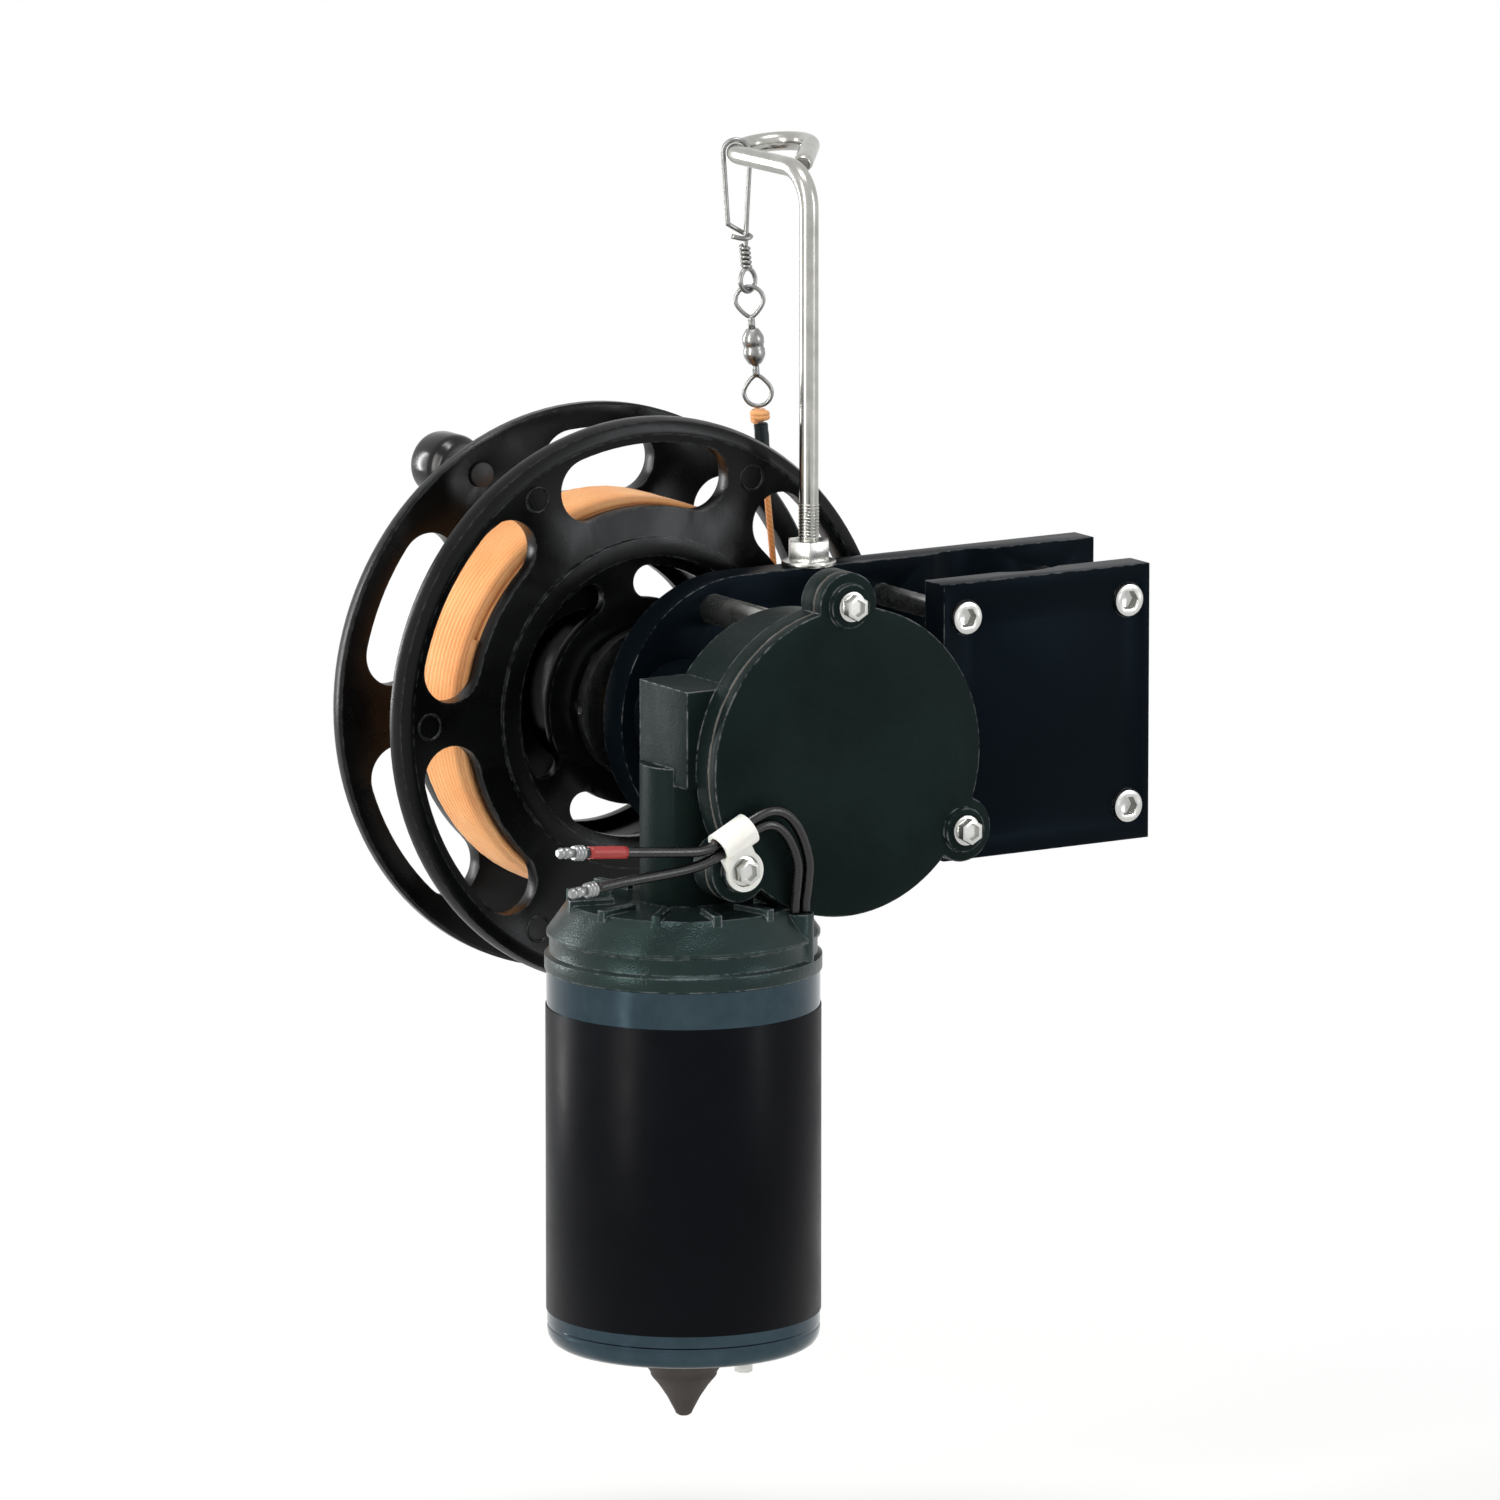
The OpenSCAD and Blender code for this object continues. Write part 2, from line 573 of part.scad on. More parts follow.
// Shaft, with the worm wheel at one end and the clutch at the other
worm_y = cover_y + worm_depth;
wheel_pitch_r = wheel_teeth * gear_module / 2;
wheel_tip_r = wheel_pitch_r + gear_module;
wheel_root_r = wheel_pitch_r - 1.25 * gear_module;
worm_lead = PI * gear_module;
worm_turns = 5;
worm_l = worm_turns * worm_lead;
lead_angle = atan(worm_lead / (2 * PI * worm_r));
tooth_gap_w = 3.1;
tip_relief = 0.35;
tooth_cut_l = 6;
hub_out_r = 14;
rim_in_r = 30;
web_half = 3;
wheel_y1 = worm_y - wheel_w / 2;
wheel_y2 = worm_y + wheel_w / 2;
hub_y1 = worm_y - 8;
hub_y2 = wheel_y2 + 1;
shaft_y1 = gasket_y + 2;
disc_r = 28;
drive_y = web_y1 - disc_t - drive_t;
pressure_t = 4;
pressure_y = web_y2 + disc_t;
pressure_r = hub_screw_r - 4;
spring_y = pressure_y + pressure_t;
spring_l = 13;
knob_y = spring_y + spring_l;
clutch_knob_t = 20;
clutch_knob_r = 31;
grip_n = 12;
grip_r = 4.5;
grip_at = clutch_knob_r + 2.5;
shaft_y2 = knob_y + clutch_knob_t - 4;
key_w = 4;
key_h = 4;
key_in = 2;
pin_r = 1.5;
module drive_pin_bar(r, l) translate([0, drive_y + drive_t / 2, 0]) rotate([0, 90, 0])
    cylinder(r = r, h = l, center = true);
module output_shaft() color("#b4b6b4") at_shaft() difference() {
    bar(shaft_r, shaft_y1, shaft_y2);
    translate([-key_w / 2, hub_y1, shaft_r - key_in]) cube([key_w, hub_y2 - hub_y1, key_in + cut]);
    drive_pin_bar(pin_r + slip, 4 * shaft_r);
}
module wheel_key() color("#7c7f80") at_shaft()
    translate([-key_w / 2 + slip, hub_y1 + slip, shaft_r - key_in + slip])
    cube([key_w - 2 * slip, hub_y2 - hub_y1 - 2 * slip, key_h]);
module wheel_hub() color("#8a8d8f") difference() {
    turned() polygon([
        [shaft_r + slip, hub_y1], [hub_out_r, hub_y1],
        [hub_out_r, worm_y - web_half], [rim_in_r, worm_y - web_half],
        [rim_in_r, worm_y + web_half], [hub_out_r, worm_y + web_half],
        [hub_out_r, hub_y2], [shaft_r + slip, hub_y2]
    ]);
    at_shaft() translate([-key_w / 2, hub_y1 - cut, shaft_r - key_in])
        cube([key_w, hub_y2 - hub_y1 + 2 * cut, key_h + slip * 2]);
}
module worm_wheel() color("#c9a24f") difference() {
    turned() translate([rim_in_r, wheel_y1]) square([wheel_tip_r - tip_relief - rim_in_r, wheel_w]);
    at_shaft() translate([0, worm_y, 0]) around(wheel_teeth, 180)
        translate([wheel_root_r - 0.15 + tooth_cut_l / 2, 0, 0])
        rotate([-lead_angle, 0, 0]) cube([tooth_cut_l, 3 * wheel_w, tooth_gap_w], center = true);
}
module drive_plate() color("#3b3e40") at_shaft() difference() {
    bar(disc_r, drive_y, drive_y + drive_t);
    bar(shaft_r + slip, drive_y - cut, drive_y + drive_t + cut);
    drive_pin_bar(pin_r + slip, 4 * disc_r);
}
module drive_pin() color("#a9abaa") at_shaft() drive_pin_bar(pin_r, 2 * shaft_r + 12);
module disc(r1, r2, y, t) turned() polygon([[r1, y], [r2, y], [r2, y + t], [r1, y + t]]);
module front_friction_disc() color("#6b4a35")
    disc(shaft_r + 1, hub_screw_r - screw_head_r - 0.5, drive_y + drive_t, disc_t);
module rear_friction_disc() color("#6b4a35") disc(shaft_r + 1, pressure_r, web_y2, disc_t);
module pressure_plate() color("#8d9092") disc(shaft_r + run, pressure_r, pressure_y, pressure_t);
spring_wire = 2.4;
spring_r = shaft_r + 3;
spring_turns = 3;
spring_steps = 8 * spring_turns;
spring_rise = spring_l - spring_wire - 0.2;
spring_points = [for (i = [0 : spring_steps]) let (a = i * 45) [
    shaft_x + spring_r * cos(a),
    spring_y + spring_wire / 2 + 0.1 + spring_rise * i / spring_steps,
    shaft_z + spring_r * sin(a)
]];
spring_leans = [for (i = [0 : spring_steps]) [cos(i * 45), 0, sin(i * 45)]];
module clutch_spring() color("#9a9c9b") tube(spring_points, spring_wire / 2, 6, spring_leans);
module clutch_knob() color("#18191a") difference() {
    turned() polygon([
        [shaft_r + run, knob_y], [2 * shaft_r - 1, knob_y], [clutch_knob_r - 3, knob_y + 3],
        [clutch_knob_r, knob_y + 6], [clutch_knob_r, knob_y + clutch_knob_t - 5],
        [clutch_knob_r - 3, knob_y + clutch_knob_t], [shaft_r + run, knob_y + clutch_knob_t]
    ]);
    at_shaft() around(grip_n) translate([grip_at, 0, 0])
        bar(grip_r, knob_y - cut, knob_y + clutch_knob_t + cut);
}

// Gearbox
ear_angles = [90, clip_ear_angle, 329];
flange_w = 8;
wall = 3.8;
cavity_r = housing_r - wall;
worm_x = shaft_x - wheel_pitch_r - worm_r;
worm_bore_r = worm_r + gear_module + 0.7;
worm_room = 16;
tower_r = 15.5;
can_top = shaft_z - can_drop;
bell_top = can_top + bell_h;
lug_top = 29;
lug_low = 6;
lug_x = -10.8;
lug_w = 22.3;
bush_wall = 3;
armature_r = 4;
cover_boss_l = 9;
ear_boss_r = 8;
ear_boss_h = 2;
screw_af = 8;
screw_head = 4.5;
screw_washer_r = 5.4;
screw_washer_t = 0.8;
mount_af = 10;
mount_head = 4;
module ears() for (a = ear_angles) rotate(a) translate([cover_screw_r, 0]) circle(ear_r);
module cover_outline() { circle(cover_r); ears(); }
module at_ears() at_shaft() for (a = ear_angles) at_angle(a, cover_screw_r) children();
module at_motor() translate([worm_x, worm_y, 0]) children();
module gear_housing() color("#17191b") difference() {
    union() {
        at_shaft() slab(housing_y, housing_y + flange_w) cover_outline();
        at_shaft() bar(housing_r, housing_y, housing_end);
        translate([worm_x + lug_x, housing_y + flange_w, shaft_z - lug_low])
            cube([lug_w, housing_end - housing_y - flange_w, lug_top + lug_low]);
        at_motor() translate([0, 0, bell_top]) cylinder(r = tower_r, h = shaft_z - bell_top);
    }
    at_shaft() bar(cavity_r, housing_y - cut, housing_end - housing_back);
    at_shaft() bar(shaft_r + bush_wall, housing_end - housing_back - cut, housing_end + cut);
    at_motor() translate([0, 0, bell_top - cut])
        cylinder(r = worm_bore_r, h = shaft_z + worm_room - bell_top + cut);
    at_motor() translate([0, 0, shaft_z]) cylinder(r = armature_r + run, h = lug_top - 3);
    at_ears() bar(cover_screw_d / 2 + slip, housing_y - cut, housing_y + flange_w + cut);
    at_posts() bar(mount_screw_d / 2 + slip, housing_end - housing_back - cut, housing_end + cut);
}
module gear_cover() color("#17191b") difference() {
    union() {
        at_shaft() slab(cover_y, gasket_y) cover_outline();
        at_shaft() bar(shaft_r + 6, gasket_y, gasket_y + cover_boss_l);
        at_ears() bar(ear_boss_r, cover_y - ear_boss_h, cover_y);
    }
    at_shaft() bar(shaft_r + run, gasket_y + 1.5, gasket_y + cover_boss_l + cut);
    at_ears() bar(cover_screw_d / 2 + slip, cover_y - ear_boss_h - cut, gasket_y + cut);
}
module cover_gasket() color("#4b4741") difference() {
    at_shaft() slab(gasket_y, housing_y) cover_outline();
    at_shaft() bar(cavity_r, gasket_y - cut, housing_y + cut);
    at_ears() bar(cover_screw_d / 2 + slip, gasket_y - cut, housing_y + cut);
}
module cover_screws() color("#c4c5c1") at_ears() {
    bar(cover_screw_d / 2, cover_y - ear_boss_h, housing_y + flange_w + 2);
    translate([0, cover_y - ear_boss_h, 0]) rotate([90, 0, 0]) hex_bar(screw_af, screw_head);
    bar(screw_washer_r, cover_y - ear_boss_h - screw_washer_t, cover_y - ear_boss_h);
}
module housing_bush() color("#b08d4a")
    disc(shaft_r + run, shaft_r + bush_wall, housing_end - housing_back, housing_back);
module bearing_sleeve() color("#1b1d1f") disc(shaft_r + run, sleeve_r, housing_end, inner_y - housing_end);
bush_flange_t = 2.2;
bush_flange_w = 3;
module plate_bush() color("#b08d4a") turned() polygon([
    [shaft_r + run, inner_y], [plate_bush_od / 2, inner_y], [plate_bush_od / 2, outer_y],
    [plate_bush_od / 2 + bush_flange_w, outer_y],
    [plate_bush_od / 2 + bush_flange_w, outer_y + bush_flange_t],
    [shaft_r + run, outer_y + bush_flange_t]
]);
module spacer_posts() color("#b3b5b2") at_posts() difference() {
    bar(post_d / 2, housing_end, inner_y);
    bar(mount_screw_d / 2 + slip, housing_end - cut, inner_y + cut);
}
module mounting_screws() color("#c4c5c1") at_posts() {
    bar(mount_screw_d / 2, housing_end - housing_back, outer_y);
    translate([0, outer_y + mount_head, 0]) rotate([90, 0, 0]) hex_bar(mount_af, mount_head);
}

// Motor, hanging under the gearbox
can_bottom = can_top - can_l;
can_in = can_r - can_wall;
floor_t = 3;
bolt_r = 2;
bolt_at = can_r - 8.3;
bolt_af = 5.5;
bolt_head = 3;
bolt_in = 7;
field_r = can_r - 12.8;
armature_low = 4;
armature_top = shaft_z + 24;
bell_lip = 0.7;
bell_skirt = 5;
bell_groove = 1;
bell_ledge = 13.3;
bell_lean = 7.8;
bell_roof = 14;
bell_rib_n = 12;
bell_rib_t = 3;
bell_rib_r1 = 26;
bell_rib_r2 = can_r - 6.3;
relief = 1.4;
lead_boss_x = shaft_x - 21.9;
lead_boss_y = cover_y - 2.5;
lead_boss_top = shaft_z - 51.5;
lead_boss_r = 5;
lead_boss_foot = 5;
module at_bolts() at_motor() for (a = [90, 270]) rotate(a) translate([bolt_at, 0, 0]) children();
module worm() color("#86898b") at_motor() translate([0, 0, shaft_z]) difference() {
    rotate(-worm_turns * 180)
        linear_extrude(worm_l, center = true, twist = -360 * worm_turns, slices = 14 * worm_turns)
        translate([gear_module, 0]) circle(worm_r - 0.35, $fn = 20);
    cylinder(r = armature_r + slip, h = worm_l + 2 * cut, center = true);
}
module armature_shaft() color("#a9acad") at_motor() translate([0, 0, can_bottom + armature_low])
    cylinder(r = armature_r, h = armature_top - can_bottom - armature_low);
module bell_rib(a) rotate(a) translate([bell_rib_r1, -bell_rib_t / 2, can_top + bell_roof + 4])
    cube([bell_rib_r2 - bell_rib_r1, bell_rib_t, bell_h - bell_roof - 2]);
module motor_bell() color("#17191b") difference() {
    union() {
        at_motor() translate([0, 0, can_top]) rotate_extrude() polygon([
            [armature_r + run, bell_h], [armature_r + run, bell_roof], [bell_roof, bell_roof],
            [bell_roof, bell_roof + 6], [field_r - 6, bell_roof + 6], [field_r, bell_roof - 2], [field_r, 0],
            [can_r + bell_lip, 0], [can_r + bell_lip, bell_skirt], [can_r - bell_groove, bell_skirt + 1],
            [can_r - bell_groove, bell_ledge - 1.5], [can_r, bell_ledge - 1], [can_r, bell_ledge],
            [can_r - bell_lean, bell_h]
        ]);
        at_motor() for (i = [0 : bell_rib_n - 1]) bell_rib(15 + i * 360 / bell_rib_n);
        translate([lead_boss_x, lead_boss_y, can_top + lead_boss_foot])
            cylinder(r = lead_boss_r, h = lead_boss_top - can_top - lead_boss_foot);
    }
    at_shaft() bar(cover_r + relief, cover_y - relief, housing_y + flange_w + relief);
    at_shaft() bar(housing_r + relief, housing_y, housing_end + relief);
    at_bolts() translate([0, 0, can_top - cut]) cylinder(r = bolt_r + slip, h = bolt_in + 2 * cut);
    at_motor() translate([0, 0, bell_top]) cylinder(r = tower_r + 1, h = 10);
}
module bell_screws() color("#b9bbb8") at_bolts() translate([0, 0, can_bottom]) {
    cylinder(r = bolt_r, h = can_l + bolt_in);
    translate([0, 0, -bolt_head]) hex_bar(bolt_af, bolt_head);
}
module motor_can() color("#9fa2a4") difference() {
    at_motor() translate([0, 0, can_bottom]) rotate_extrude() difference() {
        union() {
            translate([0, can_round]) square([can_r, can_l - can_round]);
            square([can_r - can_round, can_round + 1]);
            translate([can_r - can_round, can_round]) circle(can_round);
        }
        translate([0, floor_t]) square([can_in, can_l]);
        translate([0, -cut]) square([armature_r + 1, floor_t + 2 * cut]);
    }
    at_bolts() translate([0, 0, can_bottom - cut]) cylinder(r = bolt_r + slip, h = floor_t + 2 * cut);
}
module motor_wrap() color("#111214") at_motor() translate([0, 0, can_top - wrap_top - wrap_l]) difference() {
    cylinder(r = can_r + wrap_t, h = wrap_l);
    translate([0, 0, -cut]) cylinder(r = can_r, h = wrap_l + 2 * cut);
}

// inside the can, from the brush plate down to the tail bush
plate_z = can_top - 6;
brush_plate_t = 3;
commutator_r = 12;
commutator_l = 16;
commutator_z = plate_z - commutator_l - 2;
commutator_n = 12;
slit_w = 0.8;
core_gap = 2.7;
core_n = 10;
core_slot_w = 3;
core_slot_at = field_r - 5;
coil_r = field_r - 6;
magnet_z = can_bottom + 22;
magnet_l = commutator_z - core_gap - magnet_z;
holder_w = 10;
holder_h = 12;
holder_l = 16;
holder_in = commutator_r + 3;
brush_w = 6;
brush_h = 8;
brush_drop = 10;
brush_l = field_r - 9.5 - commutator_r;
tail_bush_r = 10;
tail_bush_h = 9;
module field_magnets() color("#3a3d40") at_motor() translate([0, 0, magnet_z]) linear_extrude(magnet_l)
    for (a = [0, 180]) rotate(a) intersection() {
        ring(field_r + 1.2, can_in);
        polygon([[0, 0], [can_r, -1.6 * can_r], [2 * can_r, 0], [can_r, 1.6 * can_r]]);
    }
module armature_core() color("#8a5a35") at_motor() difference() {
    union() {
        translate([0, 0, magnet_z + 4]) cylinder(r = field_r, h = magnet_l - 8);
        translate([0, 0, magnet_z - 3]) cylinder(r = coil_r, h = magnet_l + 3);
    }
    translate([0, 0, magnet_z - 5]) cylinder(r = armature_r + slip, h = magnet_l + 10);
    for (i = [0 : core_n - 1]) rotate(i * 360 / core_n) translate([core_slot_at, -core_slot_w / 2, magnet_z])
        cube([field_r, core_slot_w, magnet_l]);
}
module commutator() color("#c27b45") at_motor() translate([0, 0, commutator_z]) difference() {
    cylinder(r = commutator_r, h = commutator_l);
    translate([0, 0, -cut]) cylinder(r = armature_r + slip, h = commutator_l + 2 * cut);
    for (i = [0 : commutator_n - 1]) rotate(i * 360 / commutator_n)
        translate([commutator_r - 1, -slit_w / 2, -cut])
        cube([2, slit_w, commutator_l + 2 * cut]);
}
module brush_plate() color("#5a3f2c") difference() {
    at_motor() union() {
        translate([0, 0, plate_z]) cylinder(r = can_in, h = brush_plate_t);
        for (a = [0, 180]) rotate(a) translate([holder_in, -holder_w / 2, plate_z - holder_h])
            cube([holder_l, holder_w, holder_h]);
    }
    at_motor() translate([0, 0, plate_z - holder_h - cut])
        cylinder(r = commutator_r + 2, h = holder_h + brush_plate_t + 2 * cut);
    at_motor() for (a = [0, 180]) rotate(a) translate([0, -brush_w / 2 - run, plate_z - brush_drop - run])
        cube([commutator_r + brush_l + 0.5, brush_w + 2 * run, brush_h + 2 * run]);
    at_bolts() translate([0, 0, plate_z - cut]) cylinder(r = bolt_r + 0.5, h = brush_plate_t + 2 * cut);
}
module brushes() color("#2e2e30") at_motor() for (a = [0, 180]) rotate(a)
    translate([commutator_r + run, -brush_w / 2, plate_z - brush_drop]) cube([brush_l, brush_w, brush_h]);
module tail_bush() color("#b08d4a") at_motor() translate([0, 0, can_bottom + floor_t]) difference() {
    cylinder(r = tail_bush_r, h = tail_bush_h);
    translate([0, 0, -cut]) cylinder(r = armature_r + run, h = tail_bush_h + 2 * cut);
}
cone_tip = 3;
cone_shoulder = 0.62 * cone_l;
module tail_cone() color("#241f1d") at_motor() translate([0, 0, can_bottom - cone_l])
rotate_extrude() polygon([
    [0, 0], [cone_tip - 1, 0], [cone_tip, 1], [cone_r - 4, cone_shoulder],
    [cone_r, cone_l - 2.5], [cone_r, cone_l], [0, cone_l]
]);

// Leads, clip and terminals: routes as distances from the shaft's end at the cover's face
clip_y = -6;
clip_reach = 14.5;
clip_in = 4.2;
clip_t = 1.6;
clip_foot_r = 7.4;
positive_route = [
    [-19.7, -2.5, -51.5], [-19.7, -2.7, -47], [-19.6, -4, -41], [-20.2, -5.5, -32],
    [-24, -6, -21.5], [-29.5, -6, -14.8], [-36.5, -6, -12.8], [-45.5, -6, -15.7],
    [-52.6, -6, -19.3], [-59.7, -6, -22.9], [-66, -6, -24.2], [-74, -6, -23.7],
    [-83, -6, -22.8], [-93, -6, -21.8], [-103, -6, -20.7], [-113.5, -6, -19.8]
];
negative_route = [
    [-24.1, -2.5, -51.5], [-24.1, -2.7, -47], [-24.2, -4, -41], [-24.8, -5.5, -33],
    [-28, -6, -24.8], [-32.5, -6, -19.4], [-37.5, -6, -17.6], [-43.7, -6, -19.3],
    [-50.8, -6, -22.9], [-57.9, -6, -26.5], [-64, -6, -28.8], [-71, -6, -30.2],
    [-79, -6, -30.9], [-88, -6, -31.4], [-98, -6, -32], [-108.5, -6, -33]
];
function placed(route) = [for (q = route) [shaft_x + q[0], cover_y + q[1], shaft_z + q[2]]];
boot_l = 4.5;
boot_wall = 0.9;
module at_lead_end(route) {
    last = len(route) - 1;
    d = route[last] - route[last - 1];
    translate([shaft_x, cover_y, shaft_z] + route[last]) rotate([0, atan2(d[0], d[2]), 0]) children();
}
module lead(route) tube(placed(route), lead_d / 2, 8, spread(len(route), [0, 1, 0]));
module terminal(route) at_lead_end(route) rotate_extrude() polygon([
    [0, 0], [lead_d / 2 + boot_wall, 0], [lead_d / 2 + boot_wall, boot_l], [bullet_d / 2, boot_l],
    [bullet_d / 2, boot_l + bullet_l - 1], [bullet_d / 2 - 1, boot_l + bullet_l], [0, boot_l + bullet_l]
]);
module lead_positive() color("#141414") lead(positive_route);
module lead_negative() color("#141414") lead(negative_route);
module positive_terminal() color("#9b9da0") terminal(positive_route);
module negative_terminal() color("#9b9da0") terminal(negative_route);
// the clip turns about its screw: a foot under the screw's head, a strap, and a loop round both leads
clip_face = cover_y - ear_boss_h;
module at_clip() at_shaft() at_angle(clip_ear_angle, cover_screw_r)
    rotate([0, clip_ear_angle - clip_turn, 0]) children();
module loop_bar(r, w) translate([-w / 2, cover_y + clip_y, clip_reach])
    rotate([0, 90, 0]) cylinder(r = r, h = w);
module cable_clip() color("#ecebe6") difference() {
    at_clip() {
        bar(clip_foot_r, clip_face - clip_t, clip_face);
        loop_bar(clip_in + clip_t, clip_w);
        translate([-clip_foot_r + 1, clip_face - clip_t, 0])
            cube([2 * clip_foot_r - 2, clip_t, clip_reach - clip_in]);
    }
    at_clip() bar(screw_washer_r + 0.2, clip_face - clip_t - cut, clip_face + cut);
    at_clip() loop_bar(clip_in, clip_w + 2 * cut);
    at_shaft() bar(cover_r + 2 * ear_r, cover_y, cover_y + cover_t);
}

mounting_plate();
clamp_plate();
clamp_bolts();
guide_rod();
guide_nut();
guide_washer();
snap_hook();
swivel_upper_eye();
swivel_barrel();
swivel_lower_eye();
line_knot();
leader_sleeve();
free_line();
reel_front_half();
reel_rear_half();
reel_bushing();
reel_screws();
reel_nuts();
line_core();
line_winding();
crank_knob();
crank_bolt();
output_shaft();
wheel_key();
wheel_hub();
worm_wheel();
drive_plate();
drive_pin();
front_friction_disc();
rear_friction_disc();
pressure_plate();
clutch_spring();
clutch_knob();
gear_housing();
gear_cover();
cover_gasket();
cover_screws();
housing_bush();
bearing_sleeve();
plate_bush();
spacer_posts();
mounting_screws();
motor_bell();
bell_screws();
motor_can();
motor_wrap();
field_magnets();
armature_shaft();
worm();
armature_core();
commutator();
brush_plate();
brushes();
tail_bush();
tail_cone();
cable_clip();
lead_positive();
lead_negative();
positive_terminal();
negative_terminal();
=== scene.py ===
import math

import bmesh
import bpy
from mathutils import Matrix, Vector


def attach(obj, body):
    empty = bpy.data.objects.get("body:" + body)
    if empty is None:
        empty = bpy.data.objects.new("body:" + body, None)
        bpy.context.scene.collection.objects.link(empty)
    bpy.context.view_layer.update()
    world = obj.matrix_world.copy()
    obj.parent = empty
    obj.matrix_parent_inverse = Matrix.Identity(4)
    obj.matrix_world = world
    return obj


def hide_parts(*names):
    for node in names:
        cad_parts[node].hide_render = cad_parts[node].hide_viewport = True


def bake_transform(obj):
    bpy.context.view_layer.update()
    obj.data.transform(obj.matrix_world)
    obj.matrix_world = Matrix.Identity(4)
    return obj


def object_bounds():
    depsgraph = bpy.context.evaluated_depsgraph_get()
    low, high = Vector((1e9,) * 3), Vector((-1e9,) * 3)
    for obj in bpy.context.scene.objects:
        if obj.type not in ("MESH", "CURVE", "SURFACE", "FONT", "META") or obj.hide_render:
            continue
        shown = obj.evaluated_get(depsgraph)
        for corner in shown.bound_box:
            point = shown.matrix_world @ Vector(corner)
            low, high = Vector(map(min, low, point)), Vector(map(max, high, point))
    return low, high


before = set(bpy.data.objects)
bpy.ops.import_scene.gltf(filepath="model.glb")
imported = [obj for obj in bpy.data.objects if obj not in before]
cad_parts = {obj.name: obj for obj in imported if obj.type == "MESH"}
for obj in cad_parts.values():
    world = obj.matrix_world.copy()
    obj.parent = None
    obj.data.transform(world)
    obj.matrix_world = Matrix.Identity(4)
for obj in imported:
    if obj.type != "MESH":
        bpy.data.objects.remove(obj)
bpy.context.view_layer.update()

# Stage: the reel hangs on a mast above a pale floor, against plain white, lit by tall soft lamps as in
# a product photograph. The camera stands where the photograph was taken.
mm = 0.001
shaft_axis = Vector((-121.0, 0.0, 2.5)) * mm
cover_front = -91.0 * mm
photo_focal_px = 13925.0
photo_width_px = 1500.0
camera_azimuth = math.radians(-32.0)
camera_elevation = math.radians(10.7)
camera_distance = 4.94
cover_right_of_middle = 34.9 * mm
cover_below_middle = 4.5 * mm
floor_drop = 100 * mm
motor_axis = Vector((-169.5, -58.0, 0.0)) * mm
floor_reach = 8.0
floor_sides = 96
shadow_inner = 120 * mm
shadow_outer = 750 * mm


def linear(code):
    """An sRGB hex colour as linear red, green, blue and alpha."""
    parts = [int(code[i:i + 2], 16) / 255 for i in (1, 3, 5)]
    return tuple(c / 12.92 if c <= 0.04045 else ((c + 0.055) / 1.055) ** 2.4 for c in parts) + (1.0,)


def set_inputs(tree, node, inputs):
    """Sets a node's inputs to plain values, or links them where a value is another node's socket."""
    for key, value in dict(inputs).items():
        if isinstance(value, bpy.types.NodeSocket):
            tree.links.new(value, node.inputs[key])
        else:
            node.inputs[key].default_value = value


def add(tree, kind, settings=(), inputs=()):
    """One node with its settings, its input values and the links into it."""
    made = tree.nodes.new(kind)
    for key, value in dict(settings).items():
        setattr(made, key, value)
    set_inputs(tree, made, inputs)
    return made


def new_material(name):
    """A material, its tree, its shader (linked to the output) and its texture coordinates."""
    material = bpy.data.materials.new(name)
    material.use_nodes = True
    tree = material.node_tree
    tree.nodes.clear()
    shader = add(tree, "ShaderNodeBsdfPrincipled")
    add(tree, "ShaderNodeOutputMaterial", inputs={"Surface": shader.outputs["BSDF"]})
    return material, tree, shader, add(tree, "ShaderNodeTexCoord").outputs


def new_object(name, mesh):
    made = bpy.data.objects.new(name, mesh)
    bpy.context.scene.collection.objects.link(made)
    return made


right = Vector((math.cos(camera_azimuth), math.sin(camera_azimuth), 0))
ahead = Vector((-math.sin(camera_azimuth) * math.cos(camera_elevation),
                math.cos(camera_azimuth) * math.cos(camera_elevation), -math.sin(camera_elevation)))
upward = right.cross(ahead)
cover_centre = Vector((shaft_axis.x, cover_front, shaft_axis.z))
aim = cover_centre - right * cover_right_of_middle + upward * cover_below_middle
camera_data = bpy.data.cameras.new("camera")
camera_data.sensor_width = 36.0
camera_data.lens = photo_focal_px / photo_width_px * camera_data.sensor_width
camera_data.clip_end = 50.0
camera = new_object("camera", camera_data)
camera.location = aim - ahead * camera_distance
camera.rotation_euler = ahead.to_track_quat("-Z", "Y").to_euler()
bpy.context.scene.camera = camera
bpy.context.scene.view_settings.view_transform = "Standard"


def paper_white_seen(tree):
    """1 for rays from the camera, from a polished surface or through glass, else 0."""
    paths = add(tree, "ShaderNodeLightPath").outputs
    seen = add(tree, "ShaderNodeMath", {"operation": "ADD", "use_clamp": True}, {
        0: paths["Is Camera Ray"], 1: paths["Is Glossy Ray"]})
    return add(tree, "ShaderNodeMath", {"operation": "ADD", "use_clamp": True}, {
        0: seen.outputs[0], 1: paths["Is Transmission Ray"]}).outputs[0]


